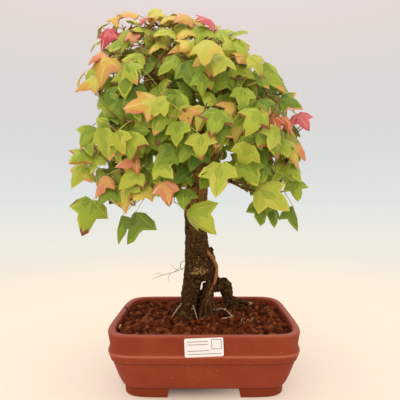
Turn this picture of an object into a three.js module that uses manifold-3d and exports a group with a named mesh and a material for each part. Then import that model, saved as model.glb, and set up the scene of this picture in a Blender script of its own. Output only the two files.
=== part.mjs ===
// Trident maple bonsai in a rectangular clay pot, in millimetres with +Z up.
// Places are worked out from the middle of the pot, on the surface that its feet stand on, and at
// the end the whole is moved so that its origin lies on that surface under the middle of its bounds.
import * as THREE from 'three';
import { mergeVertices } from 'three/addons/utils/BufferGeometryUtils.js';
import Module from 'manifold-3d';

const wasm = await Module();
wasm.setup();

// Driving dimensions of the pot, the soil and the label
const GAP = 0.3;
const POT_LENGTH = 240;
const POT_DEPTH = 194;
const POT_HEIGHT = 82;
const FOOT_HEIGHT = 11.5;
const FRONT_GAP = 82;
const SIDE_GAP = 52;
const POT_WALL = 8;
const RIM_END_FULLNESS = 12;
const RIM_SIDE_FULLNESS = 4.8;
const FOOT_END_FULLNESS = 8;
const FOOT_SIDE_FULLNESS = 7.3;
const RING_POINTS = 32;
const FLOOR_TOP = 19.5;
const DRAIN_RADIUS = 8;
const DRAIN_OFFSET = 50;
const SOIL_EDGE = 72.5;
const SOIL_TOP = 76;
const SOIL_PLAY = 0.5;
const SOIL_HEAP_INSET = 50;
const SOIL_LUMP = 1.8;
const SOIL_COLUMNS = 12;
const SOIL_ROWS = 10;
const LABEL_WIDTH = 45.2;
const LABEL_HEIGHT = 22;
const LABEL_THICKNESS = 0.5;
const LABEL_CENTRE_Z = 68.9;
const LABEL_TILT = THREE.MathUtils.degToRad(2.4);

// Driving dimensions of the crown
const CROWN_HEART = new THREE.Vector3(-15, 0, 330);
const BOUGH_ENTRY = 0.6;
const BOUGH_ARCH = 0.12;
const BOUGH_BULGE = 0.02;
const BOUGH_RADIUS = 2.4;
const BOUGH_THICKENING = 1 / 60;
const BOUGH_TAPER = [1.15, 1, 0.86, 0.72];
const BOUGH_TIP_RADIUS = 1.8;
const STEM_SHARE = 1.15;
const BARE_ROOT_OF_STEM = 0.15;
const BARE_TIP_OF_STEM = 0.92;
const LEAF_LENGTH = 42;
const LEAF_SPREAD = 7;
const PETIOLE_LENGTH = 13;
const PETIOLE_SPREAD = 12;
const SHOOTS = 5;
const ROUNDS = 5;
const LEAVES = 10;
const SHOOT_LIFT = 0.16;
const SHOOT_REACH = 0.44;
const SHOOT_REACH_SPREAD = 0.24;
const SHORTER_EACH_TRY = 0.05;
const TURN_EACH_TRY = 0.9;
const SHOOT_ROOT_BACK = 0.15;
const LEAVES_FROM_TIP = [1.5, 3.5, 5.5];
const LEAVES_ALONG_SHOOT = [0.5, 0.6];
const LEAF_FORWARD = 0.5;
const LEAF_LOOSE = 0.35;
const LOOSER_EACH_TRY = 0.12;
const BLADE_TURN = 0.4;
const BLADE_LIFT = 0.3;
const TIP_TURN = 0.35;
const TIP_ALONG_PETIOLE = 0.6;
const SHARPEST_FOLD = -0.4;
const FRONT_FACING = 0.8;
const OUTWARD_LEAN = new THREE.Vector3(1, 1, 0.45);
const BACK_FACING = 25;
const LIMB_CLEARANCE = 3;
const LEAF_CLEARANCE = 4;
const TWIG_CLEARANCE = 3;
const PETIOLE_RADIUS = 0.45;
const SHOOT_RADIUS = 1.25;
const STEM_RADIUS = 2.8;
const STEM_TAPER = 0.8;
const CELL_GAP = 0.8;
const LEAF_TRIES = 16;
const SHOOT_TRIES = 5;
const GOLDEN_ANGLE = 2.39996;
const SIMPLER = 0.05;

const vec = (x, y, z) => new THREE.Vector3(x, y, z);

const part = new THREE.Group();

// Solids and meshes

// A closed solid that booleans can join and cut, from any closed geometry
function solid(geometry) {
  const bare = geometry.index ? geometry.clone() : geometry;
  bare.deleteAttribute('normal');
  bare.deleteAttribute('uv');
  const merged = mergeVertices(bare, 1e-4);
  const mesh = new wasm.Mesh({
    numProp: 3,
    vertProperties: new Float32Array(merged.attributes.position.array),
    triVerts: new Uint32Array(merged.index.array),
  });
  return new wasm.Manifold(mesh);
}

// The largest piece of a solid, with any sealed hollow filled and loose scraps dropped
function outerBody(body) {
  const pieces = body.decompose();
  pieces.sort((a, b) => b.volume() - a.volume());
  return pieces[0];
}

function addMesh(name, body, colour, roughness = 0.8) {
  const mesh = body.getMesh();
  const geometry = new THREE.BufferGeometry();
  geometry.setAttribute('position', new THREE.BufferAttribute(mesh.vertProperties, 3));
  geometry.setIndex(new THREE.BufferAttribute(mesh.triVerts, 1));
  geometry.computeVertexNormals();
  const material = new THREE.MeshStandardMaterial({ color: colour, roughness, metalness: 0 });
  const node = new THREE.Mesh(geometry, material);
  node.name = name;
  part.add(node);
  return node;
}

// A closed geometry from points and faces
function closedGeometry(points, faces) {
  const geometry = new THREE.BufferGeometry().setFromPoints(points);
  geometry.setIndex(faces.flat());
  return geometry;
}

// A solid through level rings of equally many points, each end closed by a fan of faces
function loft(rings) {
  const count = rings[0].length;
  const points = [vec(0, 0, rings[0][0].z), ...rings.flat(), vec(0, 0, rings.at(-1)[0].z)];
  const last = points.length - 1;
  const faces = [];
  for (let i = 0; i < count; i += 1) {
    const next = (i + 1) % count;
    faces.push([0, 1 + next, 1 + i]);
    for (let row = 0; row < rings.length - 1; row += 1) {
      const low = 1 + row * count;
      const high = low + count;
      faces.push([low + i, low + next, high + next], [low + i, high + next, high + i]);
    }
    faces.push([last, last - count + i, last - count + next]);
  }
  return solid(closedGeometry(points, faces));
}

// A prism along Z of an outline drawn in XY, turned to stand up with its outline in XZ
function standingPrism(shape, depth) {
  const geometry = new THREE.ExtrudeGeometry(shape, { depth, bevelEnabled: false, curveSegments: 2 });
  geometry.translate(0, 0, -depth / 2);
  geometry.rotateX(Math.PI / 2);
  return geometry;
}

// Pot

// One level ring of the pot: a rectangle with rounded corners and bowed sides, squarer near the feet
function potRing(inset, z) {
  const height = z / POT_HEIGHT;
  const endFullness = THREE.MathUtils.lerp(FOOT_END_FULLNESS, RIM_END_FULLNESS, height);
  const sideFullness = THREE.MathUtils.lerp(FOOT_SIDE_FULLNESS, RIM_SIDE_FULLNESS, height);
  const points = [];
  for (let i = 0; i < RING_POINTS; i += 1) {
    const angle = (2 * Math.PI * i) / RING_POINTS;
    const across = Math.cos(angle);
    const along = Math.sin(angle);
    const x = Math.sign(across) * Math.abs(across) ** (2 / endFullness);
    const y = Math.sign(along) * Math.abs(along) ** (2 / sideFullness);
    points.push(vec(x * (POT_LENGTH / 2 - inset), y * (POT_DEPTH / 2 - inset), z));
  }
  return points;
}

const potLoft = (rows) => loft(rows.map(([inset, z]) => potRing(inset, z)));

// Inset and height of the outside: tapering wall, thin step, belt, flat band and rim
const OUTSIDE = [
  [20, FOOT_HEIGHT],
  [16.4, 15.2],
  [9.2, 34],
  [5.3, 45.6],
  [3.8, 47],
  [1.1, 55.4],
  [0.6, 57],
  [2.4, 60.2],
  [0.9, 75.5],
  [0, 79.8],
  [0.9, POT_HEIGHT],
];

// Inset and height of the inside, from the rim down to the floor
const INSIDE = [
  [POT_WALL - 1, POT_HEIGHT],
  [POT_WALL + 0.4, 79.8],
  [POT_WALL + 3, 52],
  [POT_WALL + 21, FLOOR_TOP],
];

// The gap between two feet, seen along it, wider at the ground than at the pot
function footGap(halfWidth) {
  const flare = 4;
  const above = FOOT_HEIGHT + 5;
  const shape = new THREE.Shape();
  shape.moveTo(-halfWidth - flare, -1);
  shape.lineTo(halfWidth + flare, -1);
  shape.quadraticCurveTo(halfWidth + 1, 2, halfWidth, above);
  shape.lineTo(-halfWidth, above);
  shape.quadraticCurveTo(-halfWidth - 1, 2, -halfWidth - flare, -1);
  return standingPrism(shape, POT_LENGTH + POT_DEPTH);
}

function makePot() {
  const wall = potLoft([...OUTSIDE, ...INSIDE]);
  const feet = potLoft([[22.4, 0], [20.3, 1.8], [19.8, FOOT_HEIGHT + 1]]);
  const hollow = potLoft([[48, -1], [45, FOOT_HEIGHT + 2]]);
  const frontGap = solid(footGap(FRONT_GAP / 2));
  const sideGap = solid(footGap(SIDE_GAP / 2).rotateZ(Math.PI / 2));
  let pot = wall.add(feet.subtract(hollow).subtract(frontGap).subtract(sideGap));
  for (const side of [-1, 1]) {
    const drain = new THREE.CylinderGeometry(DRAIN_RADIUS, DRAIN_RADIUS, 20, 16);
    drain.rotateX(Math.PI / 2);
    drain.translate(side * DRAIN_OFFSET, 0, FOOT_HEIGHT + 4);
    pot = pot.subtract(solid(drain));
  }
  return pot;
}

addMesh('pot', makePot(), 0x933d25, 0.75);

// Soil, heaped a little towards the trunk
function soilHeight(x, y) {
  const inset = Math.min(POT_LENGTH / 2 - Math.abs(x), POT_DEPTH / 2 - Math.abs(y));
  const share = THREE.MathUtils.clamp((inset - POT_WALL) / (SOIL_HEAP_INSET - POT_WALL), 0, 1);
  return THREE.MathUtils.lerp(SOIL_EDGE, SOIL_TOP, share);
}

// All that lies below the soil's top, which rises and falls in coarse lumps of its granules
function belowSoil(lift) {
  const block = new THREE.BoxGeometry(POT_LENGTH, POT_DEPTH, SOIL_EDGE, SOIL_COLUMNS, SOIL_ROWS, 1);
  const position = block.attributes.position;
  for (let i = 0; i < position.count; i += 1) {
    const x = position.getX(i);
    const y = position.getY(i);
    const column = Math.round((x / POT_LENGTH + 0.5) * SOIL_COLUMNS);
    const row = Math.round((y / POT_DEPTH + 0.5) * SOIL_ROWS);
    const lump = (column + row) % 2 === 0 ? SOIL_LUMP : -SOIL_LUMP;
    position.setZ(i, position.getZ(i) > 0 ? soilHeight(x, y) + lump + lift : 0);
  }
  return solid(block);
}

const soil = potLoft([
  [POT_WALL + 21 + SOIL_PLAY, FLOOR_TOP + GAP],
  [POT_WALL + 3 + SOIL_PLAY, 52],
  [POT_WALL + 1.2 + SOIL_PLAY, SOIL_EDGE],
  [POT_WALL + 1.2 + SOIL_PLAY, SOIL_TOP + SOIL_LUMP],
]).intersect(belowSoil(0));
addMesh('soil', soil, 0x4a2414, 0.95);

// What trims the roots just above the soil
const soilCutter = belowSoil(GAP);

// Label, a plain plate stuck across the front between rim and belt
function makeLabel() {
  const corner = 2;
  const right = LABEL_WIDTH / 2;
  const top = LABEL_HEIGHT / 2;
  const shape = new THREE.Shape();
  shape.moveTo(-right + corner, -top);
  shape.lineTo(right - corner, -top);
  shape.absarc(right - corner, -top + corner, corner, -Math.PI / 2, 0, false);
  shape.absarc(right - corner, top - corner, corner, 0, Math.PI / 2, false);
  shape.absarc(-right + corner, top - corner, corner, Math.PI / 2, Math.PI, false);
  shape.absarc(-right + corner, -top + corner, corner, Math.PI, 1.5 * Math.PI, false);
  return solid(standingPrism(shape, LABEL_THICKNESS));
}

const label = addMesh('label', makeLabel(), 0xf3e6dc, 0.5);
label.position.set(0, -(POT_DEPTH / 2 + GAP + LABEL_THICKNESS / 2), LABEL_CENTRE_Z);
label.rotation.y = LABEL_TILT;

// Trunk, roots and limbs

// A tapering round limb bent along a smooth curve through the points; each point is x, y, z, radius
function bendLimb(route, sides, steps, extra = 0) {
  const curve = new THREE.CatmullRomCurve3(route.map(([x, y, z]) => vec(x, y, z)));
  const thickness = new THREE.CatmullRomCurve3(route.map((row) => vec(row[3], 0, 0)));
  const frames = curve.computeFrenetFrames(steps);
  const geometry = new THREE.CylinderGeometry(1, 1, steps, sides, steps);
  const position = geometry.attributes.position;
  for (let i = 0; i < position.count; i += 1) {
    const step = Math.round(position.getY(i) + steps / 2);
    const share = curve.getUtoTmapping(step / steps);
    const radius = thickness.getPoint(share).x + extra;
    const spot = curve.getPoint(share);
    spot.addScaledVector(frames.normals[step], position.getX(i) * radius);
    spot.addScaledVector(frames.binormals[step], -position.getZ(i) * radius);
    position.setXYZ(i, spot.x, spot.y, spot.z);
  }
  return solid(geometry);
}

// The centre line of a limb as short pieces with radii, for keeping leaves and twigs off it
function limbSamples(route, count) {
  const curve = new THREE.CatmullRomCurve3(route.map(([x, y, z]) => vec(x, y, z)));
  const thickness = new THREE.CatmullRomCurve3(route.map((row) => vec(row[3], 0, 0)));
  const samples = [];
  for (let i = 0; i <= count; i += 1) {
    const share = curve.getUtoTmapping(i / count);
    samples.push({ spot: curve.getPoint(share), radius: thickness.getPoint(share).x });
  }
  return samples;
}

// The trunk is fused from its main stem and three legs that stand on the soil
const TRUNK = [
  [-7, 2, 112, 15],
  [-7, 1, 140, 19],
  [-9, 1, 165, 17.6],
  [-11, 1, 190, 15.6],
  [-12.5, 0, 225, 15],
  [-10, 0, 253, 15.6],
  [-9, 0, 275, 13.4],
  [-3, 1, 295, 10.5],
];
const TRUNK_LEGS = [
  [[-12, 0, 160, 14], [-16.5, 0, 125, 13], [-21, 0, 100, 12.2], [-26, -5, 66, 16]],
  [[0, 2, 150, 13], [9.5, 2, 127, 7], [5.5, 0, 108, 8.6], [1, -5, 66, 12]],
  [[-8, 8, 150, 14], [-14, 18, 122, 9], [-14, 26, 98, 10], [-12, 33, 66, 13]],
];

const keptClear = [];
const grownLimbs = [];

function addLimb(name, body, grown, samples, colour) {
  let trimmed = body;
  for (const other of grownLimbs) {
    trimmed = trimmed.subtract(other);
  }
  addMesh(name, outerBody(trimmed), colour, 0.9);
  grownLimbs.push(grown);
  keptClear.push(samples);
}

// Its stem starts above the gap between the legs
const STEM_FOOT = [-7, 3, 128, 11.5];
const trunkWith = (extra) => TRUNK_LEGS.reduce(
  (body, leg) => body.add(bendLimb(leg, 9, 4, extra)),
  bendLimb([STEM_FOOT, ...TRUNK.slice(1)], 11, 8, extra),
);

const BARK = 0x4b3222;
addLimb(
  'trunk',
  trunkWith(0).subtract(soilCutter),
  trunkWith(GAP),
  limbSamples(TRUNK, 16),
  BARK,
);

// Roots that show above the soil: the arching one with its knob, an air root and four thin ones
const ROOTS = {
  root_arch: [
    [0, 8, 116, 7],
    [15, 15, 115, 8],
    [28, 18, 118, 10.5],
    [33, 19, 106, 9],
    [36, 21, 90, 6.5],
    [42, 24, 66, 9],
  ],
  root_air: [
    [2, -6, 172, 3],
    [12, -10, 159, 3],
    [17.5, -9, 147, 3],
    [15, -8, 129, 2.8],
    [8, -8, 112, 2.6],
    [3, -12, 96, 2.4],
  ],
  root_right_back: [[38, 22, 93, 4], [56, 38, 86, 3.2], [76, 57, 78, 2.6]],
  root_right_front: [[40, 20, 90, 3.2], [52, 21, 82, 2.6], [65, 22, 77.5, 2.2]],
  root_pale: [
    [4, 0, 84, 2.4],
    [18, 4, 86, 2],
    [29, 3, 86, 1.8],
    [39, -9, 80, 1.7],
    [52, -16, 78, 1.5],
    [66, -18, 77, 1.2],
  ],
  root_left: [[-24, -2, 104, 2.4], [-36, 3, 94, 1.8], [-48, 13, 77, 1.4]],
};

for (const [name, route] of Object.entries(ROOTS)) {
  const sides = route[0][3] > 5 ? 9 : 6;
  const steps = route.length + 3;
  addLimb(
    name,
    bendLimb(route, sides, steps).subtract(soilCutter),
    bendLimb(route, sides, steps, GAP),
    limbSamples(route, steps),
    BARK,
  );
}

// Three leaders carry on from the fork of the trunk
const LEADERS = {
  leader_left: [[-5, 0, 282, 8], [-11, -2, 306, 5], [-19, -2, 325, 4.4], [-28, 0, 350, 4], [-48, 0, 402, 3]],
  leader_right: [[-1, 0, 284, 8], [12, -2, 300, 5.4], [20, 0, 313, 4.6], [36, 3, 345, 4], [50, 5, 396, 3]],
  leader_back: [[-4, 3, 283, 8], [-7, 26, 308, 5], [-11, 46, 340, 4.2], [-18, 58, 382, 3]],
};

for (const [name, route] of Object.entries(LEADERS)) {
  addLimb(name, bendLimb(route, 7, 7), bendLimb(route, 7, 7, GAP), limbSamples(route, 10), BARK);
}

// Crown: each mass of foliage has a centre, a reach, and the limb that its bough leaves, with the
// share of that limb's length where it does
const CROWN = [
  { name: 'top_left', from: 'leader_left', at: 0.86, centre: [-112, -5, 450], reach: [64, 62, 52] },
  { name: 'top_middle', from: 'leader_left', at: 0.96, centre: [-46, -18, 462], reach: [56, 60, 42] },
  { name: 'top_right', from: 'leader_right', at: 0.9, centre: [24, -5, 450], reach: [58, 62, 50] },
  { name: 'top_back', from: 'leader_back', at: 0.93, centre: [-42, 62, 438], reach: [66, 56, 54] },
  { name: 'upper_left', from: 'leader_left', at: 0.6, centre: [-138, 0, 378], reach: [52, 62, 50] },
  { name: 'upper_front_left', from: 'leader_left', at: 0.52, centre: [-62, -74, 392], reach: [58, 56, 54] },
  { name: 'upper_front_right', from: 'leader_right', at: 0.6, centre: [20, -76, 388], reach: [58, 56, 54] },
  { name: 'upper_right', from: 'leader_right', at: 0.72, centre: [88, 0, 386], reach: [52, 62, 50] },
  { name: 'upper_back_left', from: 'leader_back', at: 0.7, centre: [-98, 78, 378], reach: [58, 56, 54] },
  { name: 'upper_back_right', from: 'leader_back', at: 0.78, centre: [44, 80, 382], reach: [62, 56, 54] },
  { name: 'left', from: 'leader_left', at: 0.22, centre: [-142, 0, 306], reach: [54, 62, 50] },
  { name: 'front_left', from: 'leader_left', at: 0.3, centre: [-86, -76, 322], reach: [58, 54, 52] },
  { name: 'front_middle', from: 'trunk', at: 0.95, centre: [-10, -98, 326], reach: [56, 50, 52] },
  { name: 'front_right', from: 'leader_right', at: 0.3, centre: [62, -74, 322], reach: [56, 54, 52] },
  { name: 'right', from: 'leader_right', at: 0.4, centre: [108, 2, 318], reach: [52, 60, 52] },
  { name: 'back_middle', from: 'leader_back', at: 0.45, centre: [-16, 108, 318], reach: [62, 50, 56] },
  { name: 'low_left', from: 'trunk', at: 0.8, centre: [-122, -18, 236], reach: [74, 60, 58] },
  { name: 'low_front', from: 'trunk', at: 0.74, centre: [-34, -66, 254], reach: [54, 50, 46] },
  { name: 'low_right', from: 'trunk', at: 0.86, centre: [92, -14, 246], reach: [64, 58, 56] },
  { name: 'low_back_left', from: 'trunk', at: 0.82, centre: [-86, 74, 270], reach: [60, 56, 56] },
  { name: 'low_back_right', from: 'trunk', at: 0.88, centre: [66, 76, 268], reach: [60, 56, 56] },
];

for (const mass of CROWN) {
  mass.centre = vec(...mass.centre);
  mass.reach = vec(...mass.reach);
}

const ROUTES = { trunk: TRUNK, ...LEADERS };

// A bough leaves its limb, arches upwards a little and ends where it enters its mass
function boughRoute(mass) {
  const parent = ROUTES[mass.from];
  const curve = new THREE.CatmullRomCurve3(parent.map(([x, y, z]) => vec(x, y, z)));
  const start = curve.getPointAt(mass.at);
  const inward = start.clone().sub(mass.centre);
  const depth = inward.clone().divide(mass.reach).length();
  const tip = mass.centre.clone().addScaledVector(inward, BOUGH_ENTRY / depth);
  const length = start.distanceTo(tip);
  const middle = start.clone().lerp(tip, 0.5).add(vec(0, 0, BOUGH_ARCH * length));
  const bulge = vec(0, 0, BOUGH_BULGE * length);
  const base = BOUGH_RADIUS + BOUGH_THICKENING * length;
  return [
    [...start.toArray(), base * BOUGH_TAPER[0]],
    [...start.clone().lerp(middle, 0.5).add(bulge).toArray(), base * BOUGH_TAPER[1]],
    [...middle.toArray(), base * BOUGH_TAPER[2]],
    [...middle.clone().lerp(tip, 0.5).add(bulge).toArray(), base * BOUGH_TAPER[3]],
    [...tip.toArray(), BOUGH_TIP_RADIUS],
  ];
}

for (const mass of CROWN) {
  const route = boughRoute(mass);
  addLimb(
    `bough_${mass.name}`,
    bendLimb(route, 5, 4),
    bendLimb(route, 5, 4, GAP),
    limbSamples(route, 8),
    BARK,
  );
  const curve = new THREE.CatmullRomCurve3(route.map(([x, y, z]) => vec(x, y, z)));
  mass.tip = curve.getPoint(1);
  mass.heading = curve.getTangent(1);
}

// Foliage

// A row of chance numbers from 0 to 1, always the same for the same seed
function seeded(seed) {
  const multiplier = 48271;
  const modulus = 2147483647;
  let state = seed;
  return () => {
    state = (state * multiplier) % modulus;
    return state / modulus;
  };
}

function insideSpace(mass, point) {
  if (point.clone().sub(mass.centre).divide(mass.reach).length() > 1) {
    return false;
  }
  return CROWN.every((other) => {
    if (other === mass) {
      return true;
    }
    const apart = other.centre.clone().sub(mass.centre);
    const beyond = point.clone().sub(mass.centre).dot(apart) / apart.length();
    return beyond < apart.length() / 2 - CELL_GAP / 2;
  });
}

const betweenPoints = new THREE.Line3();
const nearestPoint = new THREE.Vector3();

// The trunk and its legs, the roots, the leaders and every bough are kept clear
function clearOfLimbs(point) {
  return keptClear.every((samples) => {
    for (let i = 0; i < samples.length - 1; i += 1) {
      betweenPoints.set(samples[i].spot, samples[i + 1].spot);
      betweenPoints.closestPointToPoint(point, true, nearestPoint);
      const radius = Math.max(samples[i].radius, samples[i + 1].radius);
      if (nearestPoint.distanceTo(point) < radius + LIMB_CLEARANCE) {
        return false;
      }
    }
    return true;
  });
}

// A three-sided tapered twig, with its three root points first and its three tip points after them
const TWIG_FACES = [[0, 2, 1], [3, 4, 5], [0, 1, 4], [0, 4, 3], [1, 2, 5], [1, 5, 4], [2, 0, 3], [2, 3, 5]];

function twig(from, to, rootRadius, tipRadius) {
  const heading = to.clone().sub(from).normalize();
  const side = heading.clone().cross(vec(0.3, 0.2, 1)).normalize();
  const upper = heading.clone().cross(side);
  const ring = (middle, radius) => [0, 1, 2].map((corner) => middle.clone()
    .addScaledVector(side, radius * Math.cos((2 * Math.PI * corner) / 3))
    .addScaledVector(upper, radius * Math.sin((2 * Math.PI * corner) / 3)));
  return solid(closedGeometry([...ring(from, rootRadius), ...ring(to, tipRadius)], TWIG_FACES));
}

// Outline of a three-lobed blade, as shares of its length: across, along, and how far it hangs
const BLADE = [
  [0.035, 0, 0],
  [0.27, 0.05, 0.04],
  [0.52, 0.5, 0.15],
  [0.2, 0.53, 0.04],
  [0, 1, 0.14],
  [-0.2, 0.53, 0.04],
  [-0.52, 0.5, 0.15],
  [-0.27, 0.05, 0.04],
  [-0.035, 0, 0],
];
const BLADE_HEART = 0.44;
const BLADE_THICKNESS = 1.4;
const KEEL = 1.5;

// A leaf: a three-sided petiole from its twig, and a blade whose lobes hang a little
function leafPoints(root, base, midrib, normal, length) {
  const side = midrib.clone().cross(normal);
  const stalk = base.clone().sub(root).normalize();
  const level = side.clone().addScaledVector(stalk, -side.dot(stalk)).normalize();
  const upper = level.clone().cross(stalk);
  const outline = BLADE.map(([across, along, hang]) => base.clone()
    .addScaledVector(side, across * length)
    .addScaledVector(midrib, along * length)
    .addScaledVector(normal, -hang * length));
  const top = base.clone().addScaledVector(midrib, BLADE_HEART * length);
  const sunk = root.clone().addScaledVector(stalk, -PETIOLE_RADIUS / 2);
  return [
    top,
    top.clone().addScaledVector(normal, -BLADE_THICKNESS),
    ...outline,
    base.clone().addScaledVector(upper.clone().add(normal).normalize(), -KEEL),
    sunk.clone().addScaledVector(level, PETIOLE_RADIUS),
    sunk.clone().addScaledVector(level, -PETIOLE_RADIUS),
    sunk.clone().addScaledVector(upper, -PETIOLE_RADIUS * 1.5),
  ];
}

// Numbers of the points above: top, under side, both ends of the outline, keel, petiole's root
const [TOP, UNDER, FIRST, LAST, UNDER_BASE] = [0, 1, 2, 10, 11];
const [ROOT_RIGHT, ROOT_LEFT, ROOT_KEEL] = [12, 13, 14];
const LEAF_FACES = [
  [TOP, LAST, FIRST],
  [UNDER, FIRST, UNDER_BASE],
  [UNDER, UNDER_BASE, LAST],
  [FIRST, LAST, ROOT_LEFT],
  [FIRST, ROOT_LEFT, ROOT_RIGHT],
  [UNDER_BASE, FIRST, ROOT_RIGHT],
  [UNDER_BASE, ROOT_RIGHT, ROOT_KEEL],
  [LAST, UNDER_BASE, ROOT_KEEL],
  [LAST, ROOT_KEEL, ROOT_LEFT],
  [ROOT_RIGHT, ROOT_LEFT, ROOT_KEEL],
];
for (let i = FIRST; i < LAST; i += 1) {
  LEAF_FACES.push([TOP, i, i + 1], [UNDER, i + 1, i]);
}

// Points spread over a blade, which stand for it when its distance to something else is wanted
function bladeSamples(points) {
  const corners = points.slice(FIRST, LAST + 1);
  const between = corners.slice(1).map((point, i) => point.clone().lerp(corners[i], 0.5));
  const edge = [...corners, ...between];
  return [0.35, 0.7, 1].flatMap((share) => edge.map((point) => points[TOP].clone().lerp(point, share)));
}

// Shares along a petiole or twig at which it is tested; the rest lies inside what it grows from
const STALK_CHECKS = [0.4, 0.7, 1];
const TWIG_CHECKS = [0.25, 0.5, 0.75, 1];

const apartFrom = (spots, others, distance) => spots.every(
  (spot) => others.every((other) => spot.distanceTo(other) > distance),
);

function offLines(spots, lines) {
  return lines.every((line) => spots.every((spot) => {
    line.closestPointToPoint(spot, true, nearestPoint);
    return nearestPoint.distanceTo(spot) > TWIG_CLEARANCE;
  }));
}

// Leaves that stand out in front, each by the base and tip of its blade
const SHOWN_LEAVES = [
  { mass: 'low_left', base: [-148, -30, 239], tip: [-158, -40, 194] },
  { mass: 'low_left', base: [-90, -40, 226], tip: [-103, -46, 190] },
  { mass: 'low_front', base: [-52, -72, 258], tip: [-42, -78, 226] },
  { mass: 'low_front', base: [-14, -52, 232], tip: [6, -62, 198] },
  { mass: 'front_middle', base: [18, -98, 318], tip: [14, -108, 280] },
  { mass: 'low_right', base: [70, -42, 256], tip: [100, -50, 226] },
  { mass: 'low_right', base: [112, -8, 248], tip: [124, -12, 206] },
  { mass: 'front_middle', base: [-15, -112, 366], tip: [-9, -122, 330] },
  { mass: 'top_left', base: [-134, -14, 474], tip: [-148, -22, 444] },
  { mass: 'right', base: [122, -20, 352], tip: [138, -26, 324] },
];

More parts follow.
